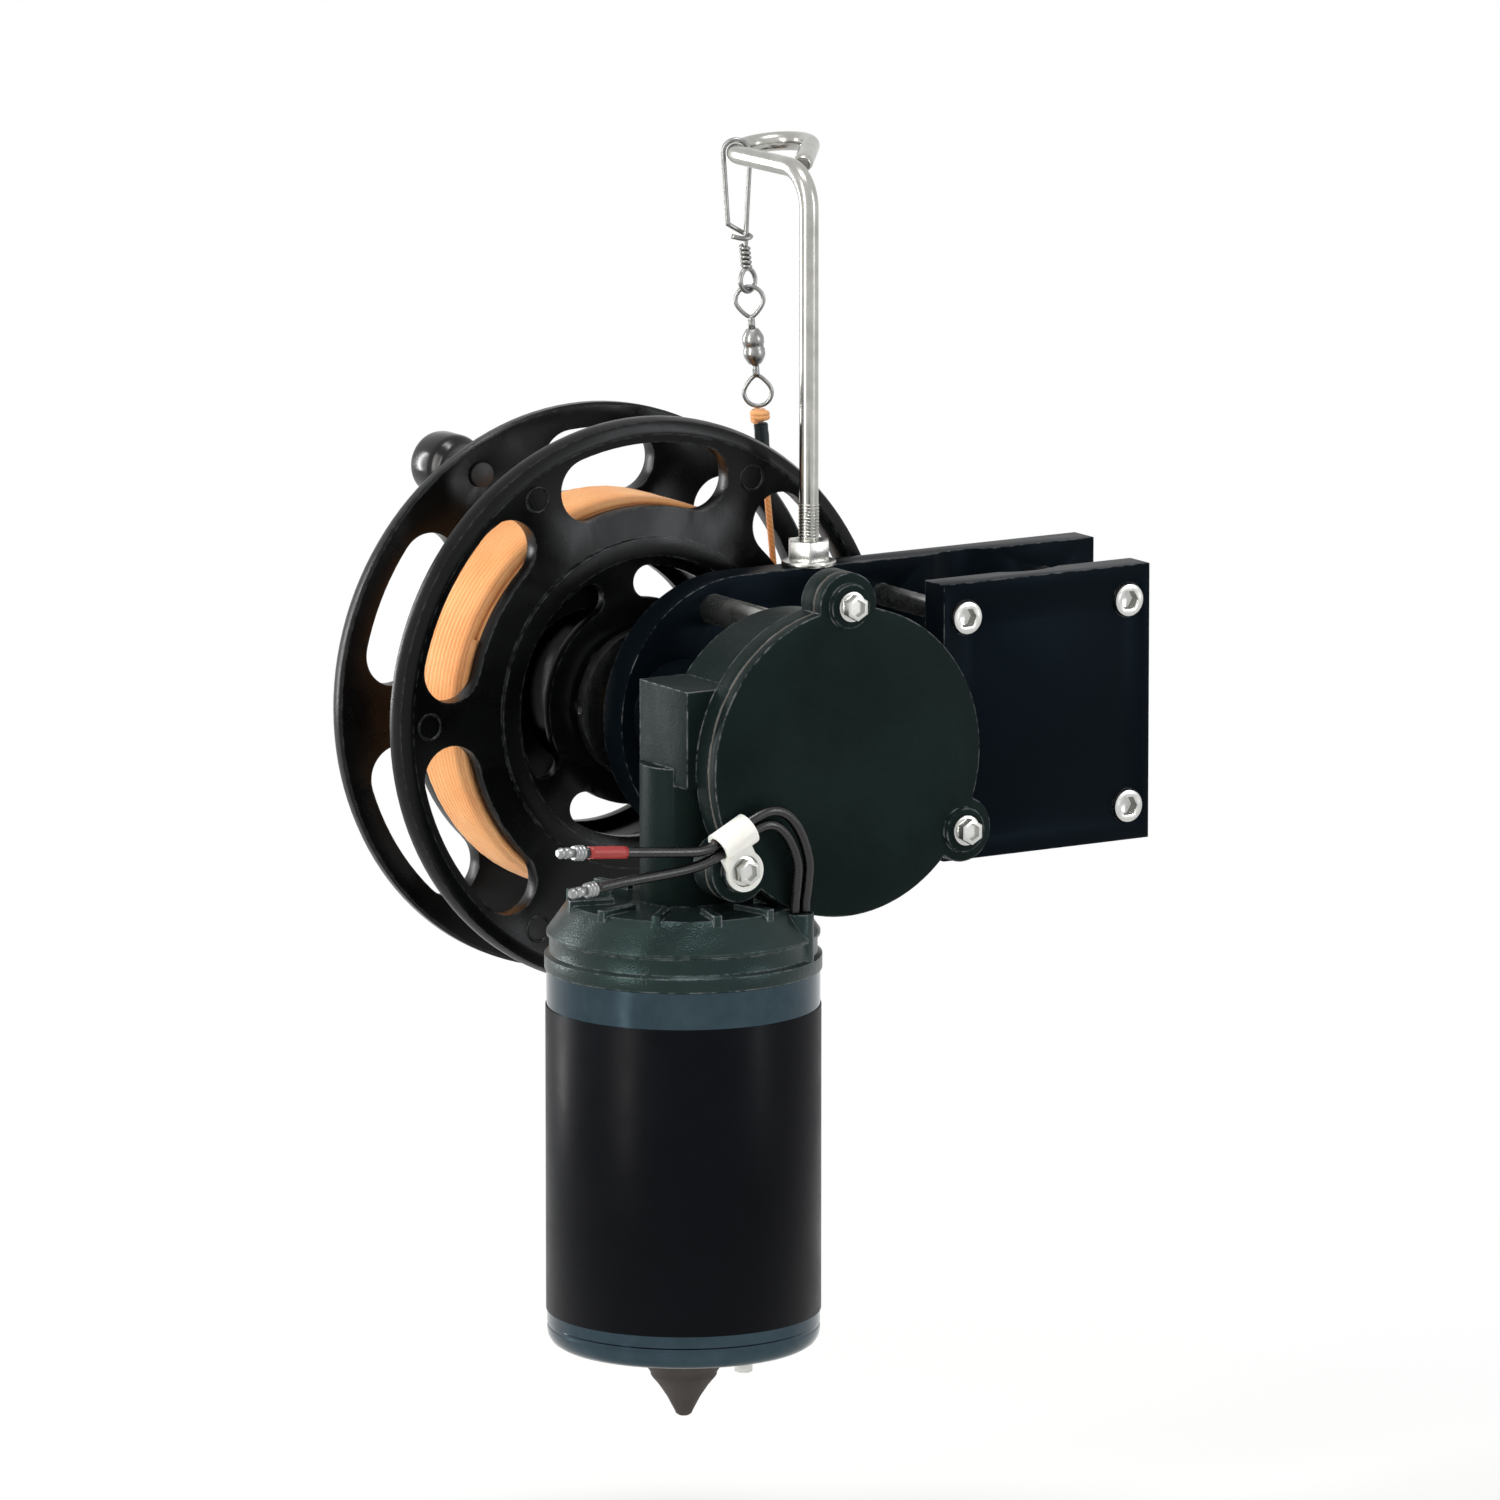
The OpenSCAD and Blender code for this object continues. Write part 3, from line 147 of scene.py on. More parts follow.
def floor_material(floor_z):
    """White seamless paper: it takes the shadow under the motor and burns out to white around it."""
    material, tree, shader, place = new_material("seamless_paper")
    set_inputs(tree, shader, {"Roughness": 0.95, "Base Color": linear("#F4F4F2")})
    away = add(tree, "ShaderNodeVectorMath", {"operation": "DISTANCE"}, {
        0: place["Object"], 1: (motor_axis.x, motor_axis.y, floor_z)})
    rise = add(tree, "ShaderNodeMapRange", {"interpolation_type": "SMOOTHSTEP"}, {
        "Value": away.outputs["Value"], "From Min": shadow_inner, "From Max": shadow_outer})
    share = add(tree, "ShaderNodeMath", {"operation": "MULTIPLY"}, {
        0: rise.outputs["Result"], 1: paper_white_seen(tree)})
    burnt = add(tree, "ShaderNodeEmission", inputs={"Color": linear("#FFFFFF"), "Strength": 1.0})
    mixed = add(tree, "ShaderNodeMixShader", inputs={
        0: share.outputs[0], 1: shader.outputs["BSDF"], 2: burnt.outputs[0]})
    tree.links.new(mixed.outputs[0], tree.nodes["Material Output"].inputs["Surface"])
    return material


def build_floor():
    """A round floor; past its rim the world shows the same white, so every side is seen against it."""
    floor_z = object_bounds()[0][2] - floor_drop
    turns = (2 * math.pi * k / floor_sides for k in range(floor_sides))
    points = [(floor_reach * math.cos(a), floor_reach * math.sin(a), floor_z) for a in turns]
    mesh = bpy.data.meshes.new("floor")
    mesh.from_pydata(points, [], [tuple(range(floor_sides))])
    mesh.materials.append(floor_material(floor_z))
    new_object("floor", mesh)


build_floor()


def build_light(name, place, size, watts, colour):
    lamp = bpy.data.lights.new(name, "AREA")
    lamp.shape = "RECTANGLE"
    lamp.size, lamp.size_y = size
    lamp.energy = watts
    lamp.color = colour[:3]
    made = new_object(name, lamp)
    made.location = place
    made.rotation_euler = (aim - Vector(place)).to_track_quat("-Z", "Y").to_euler()


build_light("key_lamp", (-1.95, -0.35, 0.5), (0.2, 1.9), 26, linear("#FFFDF8"))
build_light("fill_lamp", (1.2, -2.0, 0.6), (0.25, 1.5), 15, linear("#F8FBFF"))
build_light("top_lamp", (-0.35, -0.35, 2.2), (0.9, 0.3), 24, linear("#FFFFFF"))
build_light("rim_lamp", (-1.2, 1.75, 0.05), (0.16, 1.7), 26, linear("#FFFFFF"))

world = bpy.data.worlds.new("studio")
bpy.context.scene.world = world
world.use_nodes = True
world_tree = world.node_tree
world_tree.nodes.clear()
soft_fill = add(world_tree, "ShaderNodeBackground", inputs={"Color": linear("#FFFFFF"), "Strength": 0.5})
seen_white = add(world_tree, "ShaderNodeBackground", inputs={"Color": linear("#FFFFFF"), "Strength": 1.0})
world_mix = add(world_tree, "ShaderNodeMixShader", inputs={
    0: paper_white_seen(world_tree), 1: soft_fill.outputs[0], 2: seen_white.outputs[0]})
add(world_tree, "ShaderNodeOutputWorld", inputs={"Surface": world_mix.outputs[0]})

# Motor leads: two stranded copper leads in black PVC that rise from the motor's end bell, turn over
# into the clip and end in bullet plugs; a red sleeve marks the positive one.
lead_d = 3.8 * mm
positive_route = [
    (-19.7, -2.5, -51.5), (-19.7, -2.7, -47), (-19.6, -4, -41), (-20.2, -5.5, -32), (-24, -6, -21.5),
    (-29.5, -6, -14.8), (-36.5, -6, -12.8), (-45.5, -6, -15.7), (-52.6, -6, -19.3), (-59.7, -6, -22.9),
    (-66, -6, -24.2), (-74, -6, -23.7), (-83, -6, -22.8), (-93, -6, -21.8), (-103, -6, -20.7),
    (-113.5, -6, -19.8),
]
negative_route = [
    (-24.1, -2.5, -51.5), (-24.1, -2.7, -47), (-24.2, -4, -41), (-24.8, -5.5, -33), (-28, -6, -24.8),
    (-32.5, -6, -19.4), (-37.5, -6, -17.6), (-43.7, -6, -19.3), (-50.8, -6, -22.9), (-57.9, -6, -26.5),
    (-64, -6, -28.8), (-71, -6, -30.2), (-79, -6, -30.9), (-88, -6, -31.4), (-98, -6, -32),
    (-108.5, -6, -33),
]
marker_at = (-113.0, -95.5)
marker_wall = 0.35 * mm
boot_r = 2.8 * mm
boot_l = 4.5 * mm
pin_r = 2 * mm
pin_l = 6.5 * mm


def smooth_path(points, steps):
    """A rounded path through the points, as a list of vectors."""
    path = []
    ends = [points[0] * 2 - points[1]] + list(points) + [points[-1] * 2 - points[-2]]
    for i in range(1, len(ends) - 2):
        a, b, c, d = ends[i - 1:i + 3]
        for k in range(steps):
            t = k / steps
            path.append(0.5 * (2 * b + (c - a) * t + (2 * a - 5 * b + 4 * c - d) * t * t
                               + (3 * b - a - 3 * c + d) * t ** 3))
    path.append(points[-1].copy())
    return path


def sweep(name, path, radius, sides=16, closed=False, radii=None):
    """A round bar along a path, with a UV map in metres: along the path, and round it in turns."""
    count = len(path)
    tangents = []
    for i in range(count):
        before = path[(i - 1) % count] if closed or i else path[0]
        after = path[(i + 1) % count] if closed or i < count - 1 else path[-1]
        tangents.append((after - before).normalized())
    lean = tangents[0].orthogonal().normalized()
    points, along = [], [0.0]
    for i, middle in enumerate(path):
        lean = (lean - tangents[i] * lean.dot(tangents[i])).normalized()
        other = tangents[i].cross(lean)
        r = radii[i] if radii else radius
        for k in range(sides):
            turn = 2 * math.pi * k / sides
            points.append(middle + r * (math.cos(turn) * lean + math.sin(turn) * other))
        if i:
            along.append(along[-1] + (middle - path[i - 1]).length)
    faces, corners = [], []
    spans = count if closed else count - 1
    for i in range(spans):
        j = (i + 1) % count
        end = along[j] if j else along[-1] + (path[0] - path[-1]).length
        for k in range(sides):
            m = (k + 1) % sides
            faces.append((i * sides + k, i * sides + m, j * sides + m, j * sides + k))
            corners.append(((along[i], k / sides), (along[i], (k + 1) / sides),
                            (end, (k + 1) / sides), (end, k / sides)))
    if not closed:
        faces.append(tuple(reversed(range(sides))))
        corners.append(tuple((0.0, 0.5) for _ in range(sides)))
        faces.append(tuple((count - 1) * sides + k for k in range(sides)))
        corners.append(tuple((along[-1], 0.5) for _ in range(sides)))
    mesh = bpy.data.meshes.new(name)
    mesh.from_pydata(points, [], faces)
    flat = [value for face in corners for corner in face for value in corner]
    mesh.uv_layers.new(name="UVMap").data.foreach_set("uv", flat)
    mesh.polygons.foreach_set("use_smooth", [len(face) == 4 for face in faces])
    return new_object(name, mesh)


def lathe(name, profile, place, axis, segments=48):
    """A closed turned piece: profile is (radius, distance along the axis), in metres."""
    axis = Vector(axis).normalized()
    side = axis.orthogonal().normalized()
    other = axis.cross(side)
    turns = [2 * math.pi * k / segments for k in range(segments)]
    made = bmesh.new()
    rings = []
    for r, h in profile:
        middle = Vector(place) + axis * h
        spokes = [Vector()] if r < 1e-7 else [r * (math.cos(a) * side + math.sin(a) * other) for a in turns]
        rings.append([made.verts.new(middle + spoke) for spoke in spokes])
    for a, b in zip(rings, rings[1:]):
        for k in range(segments):
            m = (k + 1) % segments
            corners = [a[k % len(a)], a[m % len(a)], b[m % len(b)], b[k % len(b)]]
            unique = list(dict.fromkeys(corners))
            if len(unique) > 2:
                made.faces.new(unique)
    bmesh.ops.recalc_face_normals(made, faces=made.faces)
    return finish_mesh(name, made, 38.0)


def finish_mesh(name, made, sharp):
    """Turns a bmesh into an object, smooth except across edges over so many degrees."""
    for edge in made.edges:
        edge.smooth = len(edge.link_faces) == 2 and edge.calc_face_angle(0) < math.radians(sharp)
    for face in made.faces:
        face.smooth = True
    mesh = bpy.data.meshes.new(name)
    made.to_mesh(mesh)
    made.free()
    return new_object(name, mesh)


def dress(piece, material, body, slot, *nodes):
    """Gives a finished piece its material and its body, and hides the nodes that it stands for; the slot is
    not used.
    """
    piece.data.materials.clear()
    piece.data.materials.append(material)
    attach(piece, body)
    if nodes:
        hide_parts(*nodes)


def coat(tree, shader, tint, rough, relief=None, constants=()):
    """Links a shader's colour, roughness and relief, and sets its constants. rough is one value, or a
    pattern, its lowest and highest roughness and, unless they are 0 and 1, the pattern's own ends;
    relief is a height, the bump's strength and its depth in millimetres."""
    values = {"Base Color": tint, "Roughness": rough, **dict(constants)}
    if isinstance(rough, tuple):
        pattern, low, high, start, end = (*rough, 0.0, 1.0)[:5]
        values["Roughness"] = add(tree, "ShaderNodeMapRange", inputs={
            "Value": pattern, "From Min": start, "From Max": end, "To Min": low, "To Max": high}).outputs[0]
    if relief:
        height, strength, depth = relief
        values["Normal"] = add(tree, "ShaderNodeBump", inputs={
            "Strength": strength, "Distance": depth * mm, "Height": height}).outputs[0]
    set_inputs(tree, shader, values)


def pvc_material(name, code, roughness, gloss=0.5):
    """Extruded soft PVC: a satin skin with faint long draw lines and fine dust in its colour."""
    material, tree, shader, place = new_material(name)
    lines = add(tree, "ShaderNodeMapping", inputs={"Vector": place["UV"], "Scale": (60.0, 14.0, 1.0)})
    draw = add(tree, "ShaderNodeTexNoise", inputs={
        "Vector": lines.outputs["Vector"], "Scale": 3.0, "Detail": 4.0})
    dust = add(tree, "ShaderNodeTexNoise", inputs={"Vector": place["Object"], "Scale": 420.0, "Detail": 5.0})
    tint = add(tree, "ShaderNodeMix", {"data_type": "RGBA", "blend_type": "MULTIPLY"}, {
        0: 0.35, 6: linear(code), 7: dust.outputs["Color"]})
    coat(tree, shader, tint.outputs[2], (dust.outputs["Fac"], roughness - 0.08, roughness + 0.1),
         (draw.outputs["Fac"], 0.25, 0.05), {"Specular IOR Level": gloss})
    return material


def mottled_material(name, dark, light, scale, rough, detail=6.0, crumble=0.6, spread=(0.0, 1.0),
                     relief=(0.3, 0.04), constants=()):
    """A finish that one noise describes: its two tones, its roughness (one value, or the ends that the
    noise's spread is mapped to) and its relief (bump strength, and depth in millimetres)."""
    material, tree, shader, place = new_material(name)
    cloud = add(tree, "ShaderNodeTexNoise", inputs={
        "Vector": place["Object"], "Scale": scale, "Detail": detail, "Roughness": crumble}).outputs["Fac"]
    tint = add(tree, "ShaderNodeMix", {"data_type": "RGBA"}, {0: cloud, 6: linear(dark), 7: linear(light)})
    coat(tree, shader, tint.outputs[2], (cloud, *rough, *spread) if isinstance(rough, tuple) else rough,
         relief and (cloud, *relief), constants)
    return material


lead_pvc = pvc_material("extruded_black_pvc", "#070707", 0.26)
marker_pvc = pvc_material("extruded_red_pvc", "#A02B28", 0.4)
metal = {"Metallic": 1.0}
# tinned brass: a soft grey metal whose handling marks break up the reflections
tinned_brass = mottled_material("tinned_brass", "#6E7072", "#A9ABAA", 900.0, (0.26, 0.44), crumble=0.7,
                                relief=None, constants=metal)
# a crimped plug: insulation boot with two crimp dents, a shoulder, and a grooved round pin
bullet_profile = [
    (0, 0), (boot_r * 0.86, 0), (boot_r, 0.6 * mm), (boot_r, boot_l * 0.22), (boot_r * 0.9, boot_l * 0.3),
    (boot_r, boot_l * 0.38), (boot_r, boot_l * 0.55), (boot_r * 0.9, boot_l * 0.63), (boot_r, boot_l * 0.71),
    (boot_r, boot_l - 0.8 * mm), (boot_r * 0.88, boot_l), (pin_r * 0.8, boot_l),
    (pin_r * 0.8, boot_l + 0.8 * mm), (pin_r, boot_l + 1.4 * mm), (pin_r, boot_l + pin_l * 0.5),
    (pin_r * 0.82, boot_l + pin_l * 0.58), (pin_r, boot_l + pin_l * 0.68), (pin_r, boot_l + pin_l * 0.84),
    (pin_r * 0.62, boot_l + pin_l), (0, boot_l + pin_l)]


def build_lead(name, route, plug_node):
    path = smooth_path([cover_centre + Vector(point) * mm for point in route], 6)
    lead = sweep(name, path, lead_d / 2)
    dress(lead, lead_pvc, "frame", "lead_black", name)
    heading = (path[-1] - path[-7]).normalized()
    plug = lathe(plug_node + "_plug", bullet_profile, path[-1], heading, 32)
    dress(plug, tinned_brass, "frame", "terminal", plug_node)
    return lead, plug, path


positive_lead, positive_plug, positive_path = build_lead("lead_positive", positive_route, "positive_terminal")
negative_lead, negative_plug, negative_path = build_lead("lead_negative", negative_route, "negative_terminal")
marked = [p for p in positive_path if marker_at[0] * mm <= p.x - cover_centre.x <= marker_at[1] * mm]
marker = sweep("lead_marker_sleeve", marked, lead_d / 2 + marker_wall, 24)
dress(marker, marker_pvc, "frame", "lead_black")


# Clamp: two plates sawn from black anodised aluminium bar, each with a saddle milled across it to
# hold the mast, drawn together by socket head bolts that stand in counterbores.
plate_edge = 0.5 * mm
bolt_edge = 0.35 * mm
screw_edge = 0.3 * mm
socket_depth = 1.6 * mm
socket_bevel = 0.2 * mm
sharp_edge = math.radians(30)


def softened(name, node, width, segments=2, socket_w=0.0):
    """A copy of a node's mesh whose sharp edges are rounded off, as a tool or a mould leaves them.
    Where socket_w is given, the faces furthest to the front get a socket that far inside their rim."""
    made = bmesh.new()
    made.from_mesh(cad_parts[node].data)
    bmesh.ops.remove_doubles(made, verts=made.verts, dist=1e-6)
    bmesh.ops.dissolve_limit(made, angle_limit=math.radians(0.5), verts=made.verts, edges=made.edges,
                             delimit={"NORMAL"})
    edges = [e for e in made.edges if len(e.link_faces) == 2 and e.calc_face_angle(0) > sharp_edge]
    bmesh.ops.bevel(made, geom=edges, offset=width, offset_type="OFFSET", segments=segments, profile=0.5,
                    affect="EDGES", clamp_overlap=True, harden_normals=False)
    if socket_w:
        front = min(v.co.y for v in made.verts)
        heads = [f for f in made.faces if f.normal.y < -0.99 and f.calc_center_median().y < front + 1e-5]
        bmesh.ops.inset_individual(made, faces=heads, thickness=socket_w)
        bmesh.ops.inset_individual(made, faces=heads, thickness=socket_bevel, depth=-socket_depth)
    bmesh.ops.triangulate(made, faces=[f for f in made.faces if len(f.verts) > 4])
    return finish_mesh(name, made, 26.0)


def dress_node(node, ending, width, material, body, slot, *shape, **more):
    """Replaces a CAD node by its own mesh with eased edges, in its finish."""
    dress(softened(node + ending, node, width, *shape, **more), material, body, slot, node)


def edge_wear_and_painted_highlight(tree, reach, low, high):
    """How far a point is lightened, from 0 to 1: high where a corner is near, broken up by fine noise. It
    stands for edge wear and also paints a highlight along the corners.
    """
    place = add(tree, "ShaderNodeTexCoord")
    round_off = add(tree, "ShaderNodeBevel", {"samples": 4}, {"Radius": reach})
    flat = add(tree, "ShaderNodeNewGeometry")
    turn = add(tree, "ShaderNodeVectorMath", {"operation": "DOT_PRODUCT"}, {
        0: round_off.outputs["Normal"], 1: flat.outputs["Normal"]})
    near = add(tree, "ShaderNodeMapRange", inputs={
        "Value": turn.outputs["Value"], "From Min": 1.0, "From Max": 0.86})
    chips = add(tree, "ShaderNodeTexNoise", inputs={
        "Vector": place.outputs["Object"], "Scale": 260.0, "Detail": 7.0, "Roughness": 0.65})
    broken = add(tree, "ShaderNodeMapRange", inputs={
        "Value": chips.outputs["Fac"], "From Min": low, "From Max": high})
    return add(tree, "ShaderNodeMath", {"operation": "MULTIPLY", "use_clamp": True}, {
        0: near.outputs["Result"], 1: broken.outputs["Result"]}).outputs[0]


def anodised_material():
    """Dyed anodised aluminium: a dense satin black with faint bar-stock grain, and paler corners that are
    partly rubbed wear and partly a painted highlight.
    """
    material, tree, shader, place = new_material("black_anodised_aluminium")
    along = add(tree, "ShaderNodeMapping", inputs={"Vector": place["Object"], "Scale": (40.0, 900.0, 900.0)})
    grain = add(tree, "ShaderNodeTexNoise", inputs={
        "Vector": along.outputs["Vector"], "Scale": 1.0, "Detail": 5.0}).outputs["Fac"]
    cloud = add(tree, "ShaderNodeTexNoise", inputs={"Vector": place["Object"], "Scale": 34.0, "Detail": 4.0})
    dyed = add(tree, "ShaderNodeMix", {"data_type": "RGBA"}, {
        0: cloud.outputs["Fac"], 6: linear("#04080B"), 7: linear("#080D12")})
    # paler corners: rubbed wear, and a painted highlight along the edges
    tint = add(tree, "ShaderNodeMix", {"data_type": "RGBA"}, {
        0: edge_wear_and_painted_highlight(tree, 0.7 * mm, 0.45, 0.62), 6: dyed.outputs[2], 7: linear("#7C7F80")})
    coat(tree, shader, tint.outputs[2], (grain, 0.3, 0.46), (grain, 0.12, 0.03),
         {"Specular IOR Level": 0.05, "Specular Tint": linear("#9CC4E6")})
    return material


black_anodised = anodised_material()
# bright zinc plated steel: a pale blue-grey metal with cloudy plating
bright_zinc = mottled_material("bright_zinc_steel", "#B4B6B5", "#D2D1CB", 90.0, (0.2, 0.34), 4.0, 0.5,
                               relief=(0.05, 0.02), constants=metal)
for plate_node in ("mounting_plate", "clamp_plate", "bearing_sleeve"):
    dress_node(plate_node, "_eased", plate_edge, black_anodised, "frame", "anodised_black")
dress_node("clamp_bolts", "_eased", bolt_edge, bright_zinc, "frame", "zinc_steel")

# Line guide: a stainless rod screwed into the top edge of the mounting plate and locked by a nut on
# a washer; it is bent over the reel and closed into an eye. Its lower end carries a rolled thread.
rod_r = 3.5 * mm
rod_foot = Vector((-62.4, 28.347, 37.3)) * mm
eye_z = 195 * mm
eye_lift = 3 * mm
rod_bend_r = 14 * mm
leg_end_y = 74.347 * mm
eye_r = 13.5 * mm
eye_turn = math.radians(218)
eye_tail = 27 * mm
rod_tip_r = 0.82 * rod_r
thread_z = 51.5 * mm
thread_l = 22 * mm
thread_pitch = 1.2 * mm
thread_ridge_r = 0.42 * mm
nut_edge = 0.5 * mm


def open_group(name, *keys):
    """A geometry node group: its tree, its number inputs' identifiers and their values inside it."""
    tree = bpy.data.node_groups.new(name, "GeometryNodeTree")
    sockets = {key: tree.interface.new_socket(key, in_out="INPUT", socket_type="NodeSocketFloat").identifier
               for key in keys}
    tree.interface.new_socket("Geometry", in_out="OUTPUT", socket_type="NodeSocketGeometry")
    return tree, sockets, tree.nodes.new("NodeGroupInput").outputs


def close_group(tree, geometry, material):
    """Realizes the instances, sets the material and links the group's output."""
    whole = add(tree, "GeometryNodeRealizeInstances", inputs={"Geometry": geometry})
    painted = add(tree, "GeometryNodeSetMaterial", inputs={
        "Geometry": whole.outputs[0], "Material": material})
    add(tree, "NodeGroupOutput", inputs={"Geometry": painted.outputs[0]})


def helix_group(name, material, loop_steps, sides):
    """Geometry nodes that wind a round strand into a helix along +Z, each turn a little uneven."""
    tree, sockets, given = open_group(name, "Radius", "Turns", "Length", "Strand", "Unevenness")
    spiral = add(tree, "GeometryNodeCurveSpiral", inputs={
        "Resolution": loop_steps, "Rotations": given["Turns"], "Start Radius": given["Radius"],
        "End Radius": given["Radius"], "Height": given["Length"]})
    place = add(tree, "GeometryNodeInputPosition")
    noise = add(tree, "ShaderNodeTexNoise", inputs={
        "Vector": place.outputs[0], "Scale": 55.0, "Detail": 1.0})
    centred = add(tree, "ShaderNodeVectorMath", {"operation": "SUBTRACT"}, {
        0: noise.outputs["Color"], 1: (0.5, 0.5, 0.5)})
    drift = add(tree, "ShaderNodeVectorMath", {"operation": "SCALE"}, {
        0: centred.outputs[0], "Scale": given["Unevenness"]})
    moved = add(tree, "GeometryNodeSetPosition", inputs={
        "Geometry": spiral.outputs[0], "Offset": drift.outputs[0]})
    ring = add(tree, "GeometryNodeCurvePrimitiveCircle", inputs={
        "Resolution": sides, "Radius": given["Strand"]})
    skin = add(tree, "GeometryNodeCurveToMesh", inputs={
        "Curve": moved.outputs[0], "Profile Curve": ring.outputs[0], "Fill Caps": True})
    close_group(tree, skin.outputs[0], material)
    return tree, sockets


def wind(name, group, sizes, start, axis, turn=0.0):
    """What a geometry node group makes, as a plain mesh: from start along the axis, turned by an angle."""
    tree, sockets = group
    carrier = new_object(name + "_carrier", bpy.data.meshes.new(name + "_seed"))
    winder = carrier.modifiers.new("helix", "NODES")
    winder.node_group = tree
    for key, value in sizes.items():
        winder[sockets[key]] = float(value)
    bpy.context.view_layer.update()
    shaped = carrier.evaluated_get(bpy.context.evaluated_depsgraph_get())
    mesh = bpy.data.meshes.new_from_object(shaped)
    bpy.data.objects.remove(carrier)
    place = Vector(axis).to_track_quat("Z", "Y").to_matrix().to_4x4() @ Matrix.Rotation(turn, 4, "Z")
    mesh.transform(Matrix.Translation(start) @ place)
    mesh.polygons.foreach_set("use_smooth", [True] * len(mesh.polygons))
    return new_object(name, mesh)


def stainless_material():
    """Drawn stainless rod: long fine draw lines that stretch its reflections, and a few dull spots."""
    material, tree, shader, place = new_material("drawn_stainless_rod")
    lines = add(tree, "ShaderNodeMapping", inputs={"Vector": place["UV"], "Scale": (14.0, 46.0, 1.0)})
    drawn = add(tree, "ShaderNodeTexNoise", inputs={
        "Vector": lines.outputs["Vector"], "Scale": 2.0, "Detail": 5.0}).outputs["Fac"]
    spots = add(tree, "ShaderNodeTexNoise", inputs={"Vector": place["Object"], "Scale": 130.0, "Detail": 5.0})
    tint = add(tree, "ShaderNodeMix", {"data_type": "RGBA"}, {
        0: spots.outputs["Fac"], 6: linear("#8E8E8A"), 7: linear("#C4C3BD")})
    coat(tree, shader, tint.outputs[2], (drawn, 0.14, 0.34), (drawn, 0.14, 0.03), metal)
    return material


def guide_path():
    """The rod's middle line: up from the plate, over the bend, along the leg and round the eye."""
    low = rod_foot.z
    path = [Vector((rod_foot.x, rod_foot.y, low + (eye_z - rod_bend_r - low) * t / 24)) for t in range(24)]
    for i in range(13):
        b = math.pi / 2 * i / 12
        path.append(Vector((rod_foot.x, rod_foot.y + rod_bend_r * (1 - math.cos(b)),
                            eye_z - rod_bend_r * (1 - math.sin(b)))))
    start_y = path[-1].y
    path += [Vector((rod_foot.x, start_y + (leg_end_y - start_y) * t / 6, eye_z)) for t in range(1, 6)]
    middle = Vector((rod_foot.x + eye_r, leg_end_y, eye_z))
    for i in range(49):
        a = math.pi - eye_turn * i / 48
        lift = Vector((0, 0, eye_lift * (1 + math.cos(a)) / 2))
        path.append(middle + eye_r * Vector((math.cos(a), math.sin(a), 0)) + lift)
    last = math.pi - eye_turn
    heading = Vector((math.sin(last), -math.cos(last), -eye_lift / eye_tail))
    path += [path[-1] + heading * eye_tail * t / 6 for t in range(1, 7)]
    return path


drawn_stainless = stainless_material()
guide_line = guide_path()
rod_radii = [rod_r] * (len(guide_line) - 1) + [rod_tip_r]
dress(sweep("guide_rod_wire", guide_line, rod_r, 32, radii=rod_radii), drawn_stainless, "frame",
      "rod_steel", "guide_rod")
thread_group = helix_group("rolled_thread", drawn_stainless, 24, 6)
thread_start = Vector((rod_foot.x, rod_foot.y, thread_z))
dress(wind("guide_rod_thread", thread_group, {
    "Radius": rod_r - 0.1 * mm, "Turns": thread_l / thread_pitch, "Length": thread_l,
    "Strand": thread_ridge_r}, thread_start, (0, 0, 1)), drawn_stainless, "frame", "rod_steel")
dress_node("guide_nut", "_eased", nut_edge, bright_zinc, "frame", "zinc_steel")
dress_node("guide_washer", "_eased", screw_edge, bright_zinc, "frame", "zinc_steel")

# Snap and swivel: one bent wire that hooks over the eye and closes on itself, twisted into a small
# loop; below it a barrel swivel with a ring in each end, and the line tied to the lower ring.
hang = Vector((-60.3486, 81.501, 195.2279)) * mm
meet = Vector((-45.73, 73.247, 8.3893)) * mm
hang_angle = math.radians(148)
fall = (meet - hang).normalized()
snap_wire_r = 0.9 * mm
swivel_wire_r = 0.8 * mm
snap_l = 34.3 * mm
wrap_h = 9 * mm
wrap_r = 1.35 * mm
wrap_wire_r = 0.82 * mm
small_eye_at = 47.4 * mm
small_eye_r = 4.1 * mm
small_eye_turn = math.radians(50)
upper_ring_at = 54.8 * mm
barrel_at = 65.4 * mm
barrel_l = 13 * mm
stem_r = 1.3 * mm
ring_r = 5.1 * mm
lower_ring_at = 89 * mm
knot_at = 95 * mm
knot_l = 5.5 * mm
knot_r = 2.5 * mm
sleeve_at = 100.5 * mm
line_at = 111.8 * mm
chain_down = -fall
chain_x = Vector((math.cos(hang_angle), math.sin(hang_angle), 0))
chain_x = (chain_x - chain_down * chain_x.dot(chain_down)).normalized()
chain_y = chain_down.cross(chain_x)


def on_chain(x, y, s):
    """A point at distance s down the chain, with x square to the eye's wire."""
    return hang + fall * s + chain_x * x + chain_y * y


def ring_path(s, radius, turn=0.0, point=0.0):
    """A closed ring round a point down the chain, turned about the chain; a point above 0 tapers it
    toward its lower end, and one below 0 toward its upper end."""
    flat = math.cos(turn) * chain_x + math.sin(turn) * chain_y
    middle = hang + fall * s
    path = []
    for a in (2 * math.pi * k / 48 for k in range(48)):
        taper = max(0.0, point * math.sin(a)) ** 2
        path.append(middle + radius * (math.cos(a) * (1 - 0.3 * taper) * flat
                                       + math.sin(a) * (1 + 0.22 * taper) * fall))
    return path


